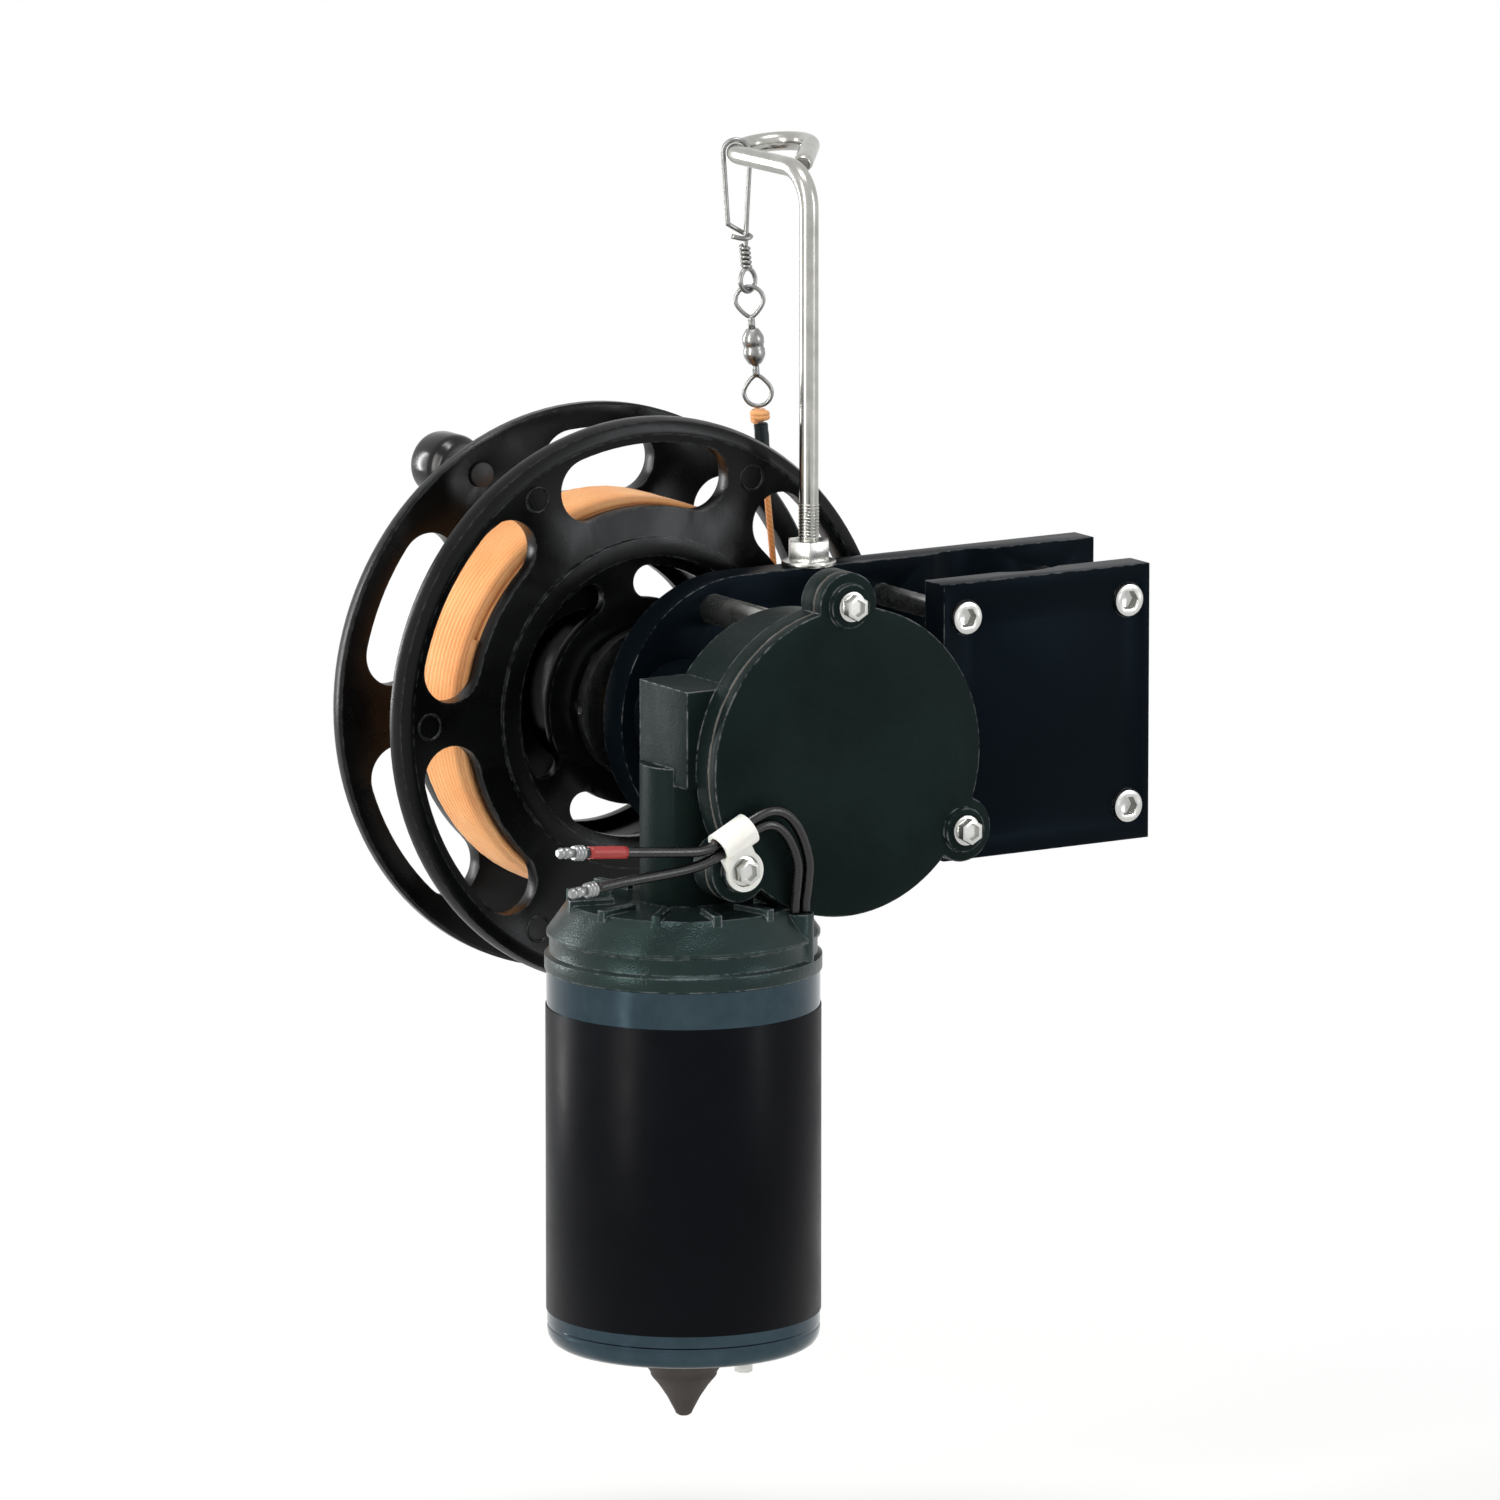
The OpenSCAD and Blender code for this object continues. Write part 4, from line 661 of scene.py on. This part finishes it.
def snap_path():
    """The snap's wire: hook tip, corner, arch over the eye, and down the other side into the wrap."""
    points = [(4.4, 2.1, 30.4), (0.2, 2.1, 31.6), (-2.6, 0, 31.4), (0.2, -2.1, 30), (4.7, -0.4, 26.6),
              (5.3, 0, 25.6), (5.05, 0, 14), (4.8, 0, 5)]
    points += [(4.7 * math.cos(math.pi * i / 10), 0, -4.7 * math.sin(math.pi * i / 10)) for i in range(11)]
    points += [(-4.7, 0, 3), (-3.3, 0, 13), (-1.9, 0, 23), (-0.8, 0, 31.3), (-0.4, 0, 34.3), (0, 0, 36.3)]
    return smooth_path([on_chain(x * mm, y * mm, s * mm) for x, y, s in points], 4)


def tackle(name, path, radius, sides, body, *nodes, closed=False):
    """A piece of bent or drawn wire on the snap or the swivel."""
    dress(sweep(name, path, radius, sides, closed), dull_nickel, body, "tackle_steel", *nodes)


# nickelled brass wire, dulled by salt: dark in its crevices and bright where it rubs
dull_nickel = mottled_material("dull_nickel_wire", "#55575A", "#B4B5B1", 380.0, (0.2, 0.44), crumble=0.7,
                               relief=None, constants=metal)
tackle("snap_wire", snap_path(), snap_wire_r, 14, "snap", "snap_hook")
small_eye = ring_path(small_eye_at, small_eye_r, small_eye_turn, -0.6)
tackle("snap_eye", small_eye, snap_wire_r, 14, "snap", closed=True)
wrap_group = helix_group("wire_wrap", dull_nickel, 24, 10)
dress(wind("snap_wrap", wrap_group, {
    "Radius": wrap_r, "Turns": 5.0, "Length": wrap_h - 0.6 * mm, "Strand": wrap_wire_r},
    hang + fall * (snap_l + 0.2 * mm), fall), dull_nickel, "snap", "tackle_steel")
tackle("swivel_upper_ring", ring_path(upper_ring_at, ring_r, point=1.0), swivel_wire_r, 14, "snap",
       "swivel_upper_eye", closed=True)
tackle("swivel_upper_stem", [hang + fall * (upper_ring_at + ring_r + t * mm) for t in (0.7, 2, 3.6, 5.3)],
       stem_r, 16, "snap")
barrel_profile = [(r * mm, h * mm) for r, h in (
    (0, 0), (2.2, 0), (2.6, 0.5), (3.5, 2), (4, 3.2), (4, 5.4), (3.7, 5.8), (3.7, 7.2), (4, 7.6), (4, 9.8),
    (3.5, 11), (2.6, 12.5), (2.2, 13), (0, 13))]
dress(lathe("swivel_barrel_turned", barrel_profile, hang + fall * barrel_at, fall, 40), dull_nickel,
      "swivel", "tackle_steel", "swivel_barrel")
tackle("swivel_lower_ring", ring_path(lower_ring_at, ring_r, point=-1.0), swivel_wire_r, 14, "swivel",
       "swivel_lower_eye", closed=True)
tackle("swivel_lower_stem", [hang + fall * (barrel_at + barrel_l + t * mm) for t in (0.1, 2, 3.4, 4.8)],
       stem_r, 16, "swivel")

# Planer line: braided orange line, wound in layers on the drum between the flanges, led up to the
# swivel and tied to its lower ring; a dark shrink sleeve covers the tag end below the knot.
line_r = 1.2 * mm
wound_r = 74 * mm
reel_front_y = 44.997 * mm
reel_back_y = 95.497 * mm
flange_t = 8 * mm
drum_r = 58 * mm
side_gap = 0.05 * mm
free_reach = 75.5 * mm
free_wrap_angle = math.radians(50)
wind_y1 = reel_front_y + flange_t
wind_y2 = reel_back_y - flange_t
shaft_line = Vector((shaft_axis.x, 0, shaft_axis.z))


def braid_material(name, from_uv):
    """Braided polyester line: fine slanting plaits, a soft sheen, and orange faded where it chafes."""
    material, tree, shader, place = new_material(name)
    if from_uv:
        # one plait for every 1.9 mm of line, slanting three times round it
        slant = add(tree, "ShaderNodeMapping", inputs={"Vector": place["UV"], "Scale": (330.0, 2.0, 1.0)})
        plait = add(tree, "ShaderNodeTexWave", {"bands_direction": "DIAGONAL"}, {
            "Vector": slant.outputs["Vector"], "Scale": 1.0, "Distortion": 0.6, "Detail": 1.0}).outputs["Fac"]
    else:
        plait = add(tree, "ShaderNodeTexNoise", inputs={
            "Vector": place["Object"], "Scale": 1500.0, "Detail": 3.0}).outputs["Fac"]
    fade = add(tree, "ShaderNodeTexNoise", inputs={"Vector": place["Object"], "Scale": 60.0, "Detail": 5.0})
    tint = add(tree, "ShaderNodeMix", {"data_type": "RGBA"}, {
        0: fade.outputs["Fac"], 6: linear("#F19548"), 7: linear("#FFC888")})
    shade = add(tree, "ShaderNodeMapRange", inputs={"Value": plait, "To Min": 0.74, "To Max": 1.0})
    mixed = add(tree, "ShaderNodeMix", {"data_type": "RGBA", "blend_type": "MULTIPLY"}, {
        0: 1.0, 6: tint.outputs[2], 7: shade.outputs["Result"]})
    coat(tree, shader, mixed.outputs[2], 0.62, (plait, 0.6, 0.1), {"Sheen Weight": 0.25})
    return material


line_braid = braid_material("braided_orange_line", True)
wound_braid = braid_material("wound_orange_line", False)
wound_group = helix_group("wound_line", wound_braid, 64, 8)
turns_across = math.floor((wind_y2 - wind_y1 - 2 * line_r) / (2.03 * line_r))
wound_l = wind_y2 - wind_y1 - 2 * (line_r + side_gap)
for layer_name, layer_r, way, first_y, turn, nodes in (
        ("line_layer_outer", wound_r - line_r, 1, wind_y1 + line_r + side_gap, 0.4, ["line_winding"]),
        ("line_layer_inner", wound_r - 2.75 * line_r, -1, wind_y2 - line_r - side_gap, 2.1, [])):
    layer = wind(layer_name, wound_group, {
        "Radius": layer_r, "Turns": turns_across, "Length": wound_l, "Strand": line_r * 0.99,
        "Unevenness": 0.5 * mm}, shaft_line + Vector((0, first_y, 0)), (0, way, 0), turn)
    dress(layer, wound_braid, "reel", "line_orange", *nodes)
bed_r = wound_r - 3.9 * line_r
bed_w = wind_y2 - wind_y1
bed_profile = [(drum_r, 0.0), (bed_r, 0.0), (bed_r, bed_w), (drum_r, bed_w)]
dress(lathe("line_bed", bed_profile, shaft_line + Vector((0, wind_y1, 0)), (0, 1, 0), 96), wound_braid,
      "reel", "line_orange", "line_core")


def free_line_path():
    """Along the wound line for a seventh of a turn, then straight up to the sleeve."""
    meet_angle = math.atan2(meet.z - shaft_axis.z, meet.x - shaft_axis.x)
    path = []
    for i in range(25):
        a = meet_angle - free_wrap_angle * (1 - i / 24)
        path.append(Vector((shaft_axis.x + free_reach * math.cos(a), meet.y,
                            shaft_axis.z + free_reach * math.sin(a))))
    top = hang + fall * line_at
    return path + [meet + (top - meet) * i / 30 for i in range(1, 31)]


free_path = free_line_path()
free_piece = sweep("free_line_braid", free_path, line_r, 14)
free_piece.data.materials.append(line_braid)
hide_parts("free_line")
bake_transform(free_piece)
knot_group = helix_group("knot_turns", wound_braid, 24, 10)
dress(wind("knot_turns", knot_group, {
    "Radius": knot_r, "Turns": 2.4, "Length": knot_l - 2 * line_r, "Strand": line_r},
    hang + fall * (knot_at + line_r), fall), wound_braid, "swivel", "line_orange", "line_knot")
knot_profile = [(0, 0), (2.2 * mm, 0.4 * mm), (2.3 * mm, knot_l - 1 * mm), (0, knot_l)]
dress(lathe("knot_middle", knot_profile, hang + fall * knot_at, fall, 24), wound_braid, "swivel",
      "line_orange")
sleeve_profile = [(r * mm, h * mm) for r, h in (
    (0, 0), (2.2, 0), (2.65, 0.5), (2.55, 2.5), (2.7, 4.5), (2.5, 8), (2.6, 10.6), (1.9, 11), (0, 11))]
sleeve_pvc = pvc_material("shrink_sleeve", "#0D1C20", 0.45, 0.3)
dress(lathe("leader_sleeve_shrunk", sleeve_profile, hang + fall * sleeve_at, fall, 28), sleeve_pvc, "swivel",
      "sleeve_dark", "leader_sleeve")

# Gearbox: a die-cast aluminium housing and flat cover in black texture paint, clamped on a fibre
# gasket by three screws, and held off the mounting plate by steel spacer posts.
cast_edge = 0.7 * mm
gasket_edge = 0.1 * mm
socket_rim = 1.3 * mm


def cast_material(name, gloss, rough_low, rough_high):
    """Wrinkle paint on a die casting: a fine pebbled black, its corners lightened to grey, partly as paint
    rubbed down to metal and partly as a painted highlight along the rims.
    """
    material, tree, shader, place = new_material(name)
    # pebbles a little over half a millimetre across
    pebbles = add(tree, "ShaderNodeTexVoronoi", {"feature": "SMOOTH_F1"}, {
        "Vector": place["Object"], "Scale": 1500.0, "Smoothness": 0.7})
    swells = add(tree, "ShaderNodeTexNoise", inputs={
        "Vector": place["Object"], "Scale": 210.0, "Detail": 6.0, "Roughness": 0.6})
    height = add(tree, "ShaderNodeMath", {"operation": "MULTIPLY_ADD"}, {
        0: swells.outputs["Fac"], 1: 1.6, 2: pebbles.outputs["Distance"]})
    dust = add(tree, "ShaderNodeTexNoise", inputs={
        "Vector": place["Object"], "Scale": 28.0, "Detail": 6.0, "Roughness": 0.62})
    paint = add(tree, "ShaderNodeMix", {"data_type": "RGBA"}, {
        0: dust.outputs["Fac"], 6: linear("#040808"), 7: linear("#16211F")})
    # grey corners: rubbed-through paint, and a painted highlight along the rims
    tint = add(tree, "ShaderNodeMix", {"data_type": "RGBA"}, {
        0: edge_wear_and_painted_highlight(tree, 0.9 * mm, 0.42, 0.6), 6: paint.outputs[2], 7: linear("#85868A")})
    coat(tree, shader, tint.outputs[2], (swells.outputs["Fac"], rough_low, rough_high),
         (height.outputs[0], 0.6, 0.16), {"Specular IOR Level": gloss, "Specular Tint": linear("#B9E2DF")})
    return material


def paint_node(node, material):
    """Gives a CAD node that already has the right shape its finish."""
    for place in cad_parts[node].material_slots:
        place.link = "OBJECT"
        place.material = material


wrinkle_paint = cast_material("wrinkle_painted_casting", 0.08, 0.34, 0.56)
bell_enamel = cast_material("enamelled_bell_casting", 0.4, 0.24, 0.4)
# pressed fibre: a dull brown-grey board; sintered brass: a yellow metal with open pores
gasket_fibre = mottled_material("pressed_gasket_fibre", "#3A3733", "#57524B", 420.0, (0.8, 0.95))
bearing_brass = mottled_material("sintered_bearing_brass", "#8A6A34", "#C29A55", 640.0, (0.28, 0.46),
                                 constants=metal)
for cast_node in ("gear_housing", "gear_cover"):
    dress_node(cast_node, "_cast", cast_edge, wrinkle_paint, "frame", "cast_black")
dress_node("cover_gasket", "_cut", gasket_edge, gasket_fibre, "frame", "gasket", 1)
dress_node("cover_screws", "_eased", screw_edge, bright_zinc, "frame", "zinc_steel", socket_w=socket_rim)
for bright_node in ("spacer_posts", "mounting_screws"):
    dress_node(bright_node, "_eased", screw_edge, bright_zinc, "frame", "zinc_steel")
for bush_node in ("housing_bush", "plate_bush"):
    paint_node(bush_node, bearing_brass)

# Cable clip: a nylon P-clip, moulded in one strap that wraps both leads and is held under the head
# of the cover's lower screw. Nylon is a warm satin white that lets a little light in, with flow marks.
clip_edge = 0.35 * mm
white_nylon = mottled_material(
    "moulded_white_nylon", "#DAD9D2", "#F4F3EE", 120.0, 0.4, 4.0, 0.5, relief=(0.2, 0.06),
    constants={"Subsurface Weight": 0.15, "Subsurface Scale": 2 * mm})
dress_node("cable_clip", "_moulded", clip_edge, white_nylon, "frame", "nylon_white")

# Motor: a permanent magnet motor in a bright plated steel can, under a ribbed cast end bell; most of
# the can is wrapped in plain gloss black film, and a rubber cone covers the tail bearing.
can_top = -71.5 * mm
can_l = 137 * mm
can_bottom = can_top - can_l
can_r = 48.8 * mm
can_in = 46.3 * mm
wrap_top = -84.8 * mm
wrap_l = 111 * mm
film_r = can_r + 0.4 * mm
bell_edge = 0.8 * mm
cone_l = 27 * mm


def tin_plate_material():
    """Tin plate rolled round a can: polished, with faint level draw lines and duller thumb marks; its dark
    slate colour is a painted reflection of dark surroundings, not the tin's own bright colour.
    """
    material, tree, shader, place = new_material("tin_plate_painted_dark")
    level = add(tree, "ShaderNodeMapping", inputs={"Vector": place["Object"], "Scale": (8.0, 8.0, 2400.0)})
    drawn = add(tree, "ShaderNodeTexNoise", inputs={
        "Vector": level.outputs["Vector"], "Scale": 1.0, "Detail": 3.0})
    thumb = add(tree, "ShaderNodeTexNoise", inputs={
        "Vector": place["Object"], "Scale": 90.0, "Detail": 6.0, "Roughness": 0.68})
    # dark slate tones: a painted reflection of dark surroundings, darker than bright tin
    tint = add(tree, "ShaderNodeMix", {"data_type": "RGBA"}, {
        0: thumb.outputs["Fac"], 6: linear("#26343C"), 7: linear("#43525A")})
    coat(tree, shader, tint.outputs[2], (thumb.outputs["Fac"], 0.1, 0.22),
         (drawn.outputs["Fac"], 0.1, 0.03), metal)
    return material


def film_material():
    """Gloss black vinyl film: deep black under a clear face, with a slight orange peel and dust."""
    material, tree, shader, place = new_material("gloss_black_film")
    peel = add(tree, "ShaderNodeTexNoise", inputs={"Vector": place["Object"], "Scale": 190.0, "Detail": 2.0})
    dust = add(tree, "ShaderNodeTexNoise", inputs={
        "Vector": place["Object"], "Scale": 45.0, "Detail": 8.0, "Roughness": 0.7})
    tint = add(tree, "ShaderNodeMix", {"data_type": "RGBA"}, {
        0: dust.outputs["Fac"], 6: linear("#040508"), 7: linear("#090A0F")})
    coat(tree, shader, tint.outputs[2], (dust.outputs["Fac"], 0.3, 0.42, 0.3, 0.7),
         (peel.outputs["Fac"], 0.12, 0.06), {"Specular IOR Level": 0.05})
    return material


def turned_on_motor(name, profile, foot_z, segments, material, slot, node):
    """A round piece on the motor's axis, from a height upward."""
    made = lathe(name, profile, motor_axis + Vector((0, 0, foot_z)), (0, 0, 1), segments)
    dress(made, material, "frame", slot, node)


tin_plate = tin_plate_material()
black_film = film_material()
# moulded rubber: brown-black and matt, greyer where it has bloomed
dark_rubber = mottled_material("moulded_dark_rubber", "#1B1614", "#3A322E", 140.0, 0.7, 7.0, 0.7,
                               relief=(0.3, 0.08))
dress_node("motor_bell", "_cast", bell_edge, bell_enamel, "frame", "cast_black")
can_profile = [(5 * mm, 3 * mm), (5 * mm, 0.0), (9 * mm, 0.0), (9.6 * mm, 0.7 * mm), (17 * mm, 0.7 * mm),
               (17.6 * mm, 0.1 * mm), (can_r - 6 * mm, 0.0), (can_r - 3.2 * mm, 0.5 * mm),
               (can_r - 1.4 * mm, 1.7 * mm), (can_r - 0.4 * mm, 3.4 * mm), (can_r, 5.2 * mm),
               (can_r, 6.6 * mm), (can_r - 0.5 * mm, 7.2 * mm), (can_r - 0.5 * mm, 7.9 * mm),
               (can_r, 8.5 * mm), (can_r, can_l - 0.3 * mm), (can_r - 0.3 * mm, can_l), (can_in, can_l),
               (can_in, 3 * mm), (5 * mm, 3 * mm)]
turned_on_motor("motor_can_drawn", can_profile, can_bottom, 128, tin_plate, "can_steel", "motor_can")
film_profile = [(can_r, 0.0), (film_r - 0.1 * mm, 0.0), (film_r, 0.15 * mm), (film_r, wrap_l - 0.15 * mm),
                (film_r - 0.1 * mm, wrap_l), (can_r, wrap_l), (can_r, 0.0)]
turned_on_motor("motor_wrap_film", film_profile, wrap_top - wrap_l, 128, black_film, "wrap_black",
                "motor_wrap")
dress_node("bell_screws", "_eased", screw_edge, bright_zinc, "frame", "zinc_steel")
cone_profile = [(r * mm, h * mm) for r, h in (
    (0, 0), (1.8, 0), (2.8, 0.7), (3.4, 2), (6, 7), (9, 11.5), (11.5, 14.5), (11.9, 15.2), (11.9, 16),
    (13.6, 18.6), (15.3, 20.6), (15.5, 21.4), (15.5, 27), (0, 27))]
turned_on_motor("tail_cone_moulded", cone_profile, can_bottom - cone_l, 64, dark_rubber, "rubber_black",
                "tail_cone")

# Reel: two moulded halves in glass filled black nylon, each a flange with six slots, a web with three
# windows and half the drum, bolted together through the hub round a brass bush.
reel_edge = 0.9 * mm
reel_screw_edge = 0.25 * mm
dish_depth = 1.5 * mm
mark_circles = (91 * mm, 83 * mm)
mark_r = 4.6 * mm
mark_ridge_r = 0.6 * mm


def moulded_nylon_material():
    """Glass filled nylon: near black with a slight sheen, fine spark texture, faint flow streaks, and paler
    rims that are partly rubbed wear and partly a painted highlight.
    """
    material, tree, shader, place = new_material("glass_filled_nylon")
    spark = add(tree, "ShaderNodeTexNoise", inputs={"Vector": place["Object"], "Scale": 900.0, "Detail": 4.0})
    flow = add(tree, "ShaderNodeTexNoise", inputs={
        "Vector": place["Object"], "Scale": 26.0, "Detail": 7.0, "Roughness": 0.66, "Distortion": 0.8})
    tint = add(tree, "ShaderNodeMix", {"data_type": "RGBA"}, {
        0: flow.outputs["Fac"], 6: linear("#030304"), 7: linear("#080909")})
    # paler rims and edges: rubbed wear, and a painted highlight along the flanges' rims
    rubbed_and_highlit = add(tree, "ShaderNodeMix", {"data_type": "RGBA"}, {
        0: edge_wear_and_painted_highlight(tree, 1.1 * mm, 0.44, 0.72), 6: tint.outputs[2], 7: linear("#5A5D5F")})
    coat(tree, shader, rubbed_and_highlit.outputs[2], (flow.outputs["Fac"], 0.22, 0.36, 0.3, 0.7),
         (spark.outputs["Fac"], 0.14, 0.05), {"Specular IOR Level": 0.16})
    return material


reel_nylon = moulded_nylon_material()
for half in ("reel_front_half", "reel_rear_half"):
    dress_node(half, "_moulded", reel_edge, reel_nylon, "reel", "reel_plastic", 3)
paint_node("reel_bushing", bearing_brass)
for bright_node in ("reel_screws", "reel_nuts"):
    dress_node(bright_node, "_eased", reel_screw_edge, bright_zinc, "reel", "zinc_steel")
# oil-blackened steel: a dull blue-black
blackened_steel = mottled_material("blackened_bolt_steel", "#08090A", "#151718", 300.0, (0.38, 0.55))
dress_node("crank_bolt", "_eased", reel_screw_edge, blackened_steel, "reel", "zinc_steel")


def ring_marks_group(material):
    """Geometry nodes that set small raised rings round a circle, as ejector pins leave in a moulding."""
    tree, sockets, given = open_group("ejector_marks", "Circle", "Mark", "Strand")
    places = add(tree, "GeometryNodeMeshCircle", inputs={"Vertices": 6, "Radius": given["Circle"]})
    mark, strand = (add(tree, "GeometryNodeCurvePrimitiveCircle", inputs={
        "Resolution": sides, "Radius": given[key]}) for sides, key in ((28, "Mark"), (6, "Strand")))
    skin = add(tree, "GeometryNodeCurveToMesh", inputs={
        "Curve": mark.outputs[0], "Profile Curve": strand.outputs[0]})
    copies = add(tree, "GeometryNodeInstanceOnPoints", inputs={
        "Points": places.outputs[0], "Instance": skin.outputs[0]})
    close_group(tree, copies.outputs[0], material)
    return tree, sockets


marks_group = ring_marks_group(reel_nylon)
for name, y, circle_r in (("front_marks", reel_front_y + dish_depth, mark_circles[0]),
                          ("rear_marks", reel_back_y - dish_depth, mark_circles[1])):
    marks = wind(name, marks_group, {
        "Circle": circle_r, "Mark": mark_r, "Strand": mark_ridge_r},
        shaft_line + Vector((0, y, 0)), (0, -1, 0))
    dress(marks, reel_nylon, "reel", "reel_plastic")

# Crank knob: a turned grip that spins on a shouldered bolt in the rear flange, to wind by hand. It is
# phenolic: a deep polished black with a hard gloss and a few hairline scratches.
crank_middle = Vector((-165.6144, 0.0, 84.669)) * mm
grip_foot = 96.497 * mm
phenolic = mottled_material("polished_phenolic", "#070708", "#101011", 75.0, (0.14, 0.34), 8.0, 0.7,
                            (0.35, 0.7), relief=None, constants={"Specular IOR Level": 0.25})
grip_profile = [(r * mm, h * mm) for r, h in (
    (3.05, 0), (7.9, 0), (8.5, 0.6), (8.5, 3.4), (8.7, 4.4), (9.6, 5.8), (11, 7.2), (11.7, 8.5), (12, 10),
    (12, 19.4), (11.7, 21.1), (11, 22.3), (9.9, 23.1), (8.7, 23.5), (3.05, 23.5), (3.05, 0))]
dress(lathe("crank_knob_turned", grip_profile, crank_middle + Vector((0, grip_foot, 0)), (0, 1, 0), 64),
      phenolic, "crank_knob", "knob_black", "crank_knob")

# Drive and clutch: the ground shaft, its worm wheel, the pinned drive plate, and the clutch that
# presses the reel between two friction discs when the scalloped knob is screwed in.
knob_edge = 1 * mm
plate_turned_edge = 0.4 * mm
spring_r = 11 * mm
spring_l = 10.4 * mm
spring_wire_r = 1.2 * mm
spring_foot = 95.997 * mm + spring_wire_r + 0.1 * mm
# a ground steel with a soft gleam, a warm cut bronze, and a matt brown lining with coarse fibres
ground_steel = mottled_material("ground_shaft_steel", "#8E9091", "#C6C7C5", 300.0, (0.16, 0.3),
                                relief=(0.3, 0.02), constants=metal)
wheel_bronze = mottled_material("cut_wheel_bronze", "#8C6D35", "#C9A45C", 260.0, (0.24, 0.42),
                                constants=metal)
lining = mottled_material("friction_lining", "#49301F", "#7B573C", 700.0, (0.82, 0.95), relief=(0.3, 0.1))
# inside the motor: grey pressed magnets and brushes, bright copper over laminations, brown board
ferrite = mottled_material("sintered_ferrite", "#26282A", "#3D4042", 500.0, (0.5, 0.7))
copper_laminate = mottled_material("copper_and_laminations", "#8A4F2B", "#C98352", 330.0, (0.26, 0.44),
                                   constants=metal)
brush_board = mottled_material("phenolic_board", "#47311F", "#6B4A31", 380.0, (0.5, 0.7))
dress_node("clutch_knob", "_moulded", knob_edge, phenolic, "clutch_knob", "knob_black", 3)
spring_group = helix_group("clutch_spring_wire", ground_steel, 32, 10)
dress(wind("clutch_spring_wound", spring_group, {
    "Radius": spring_r, "Turns": 3.0, "Length": spring_l, "Strand": spring_wire_r},
    shaft_line + Vector((0, spring_foot, 0)), (0, 1, 0)), ground_steel, "shaft", "shaft_steel",
    "clutch_spring")
for steel_node in ("drive_plate", "pressure_plate"):
    dress_node(steel_node, "_turned", plate_turned_edge, ground_steel, "shaft", "shaft_steel")
for finish, plain_nodes in (
        (ground_steel, ("output_shaft", "wheel_key", "wheel_hub", "drive_pin", "armature_shaft", "worm")),
        (wheel_bronze, ("worm_wheel",)), (lining, ("front_friction_disc", "rear_friction_disc")),
        (copper_laminate, ("armature_core", "commutator")), (ferrite, ("field_magnets", "brushes")),
        (brush_board, ("brush_plate",)), (bearing_brass, ("tail_bush",))):
    for plain_node in plain_nodes:
        paint_node(plain_node, finish)
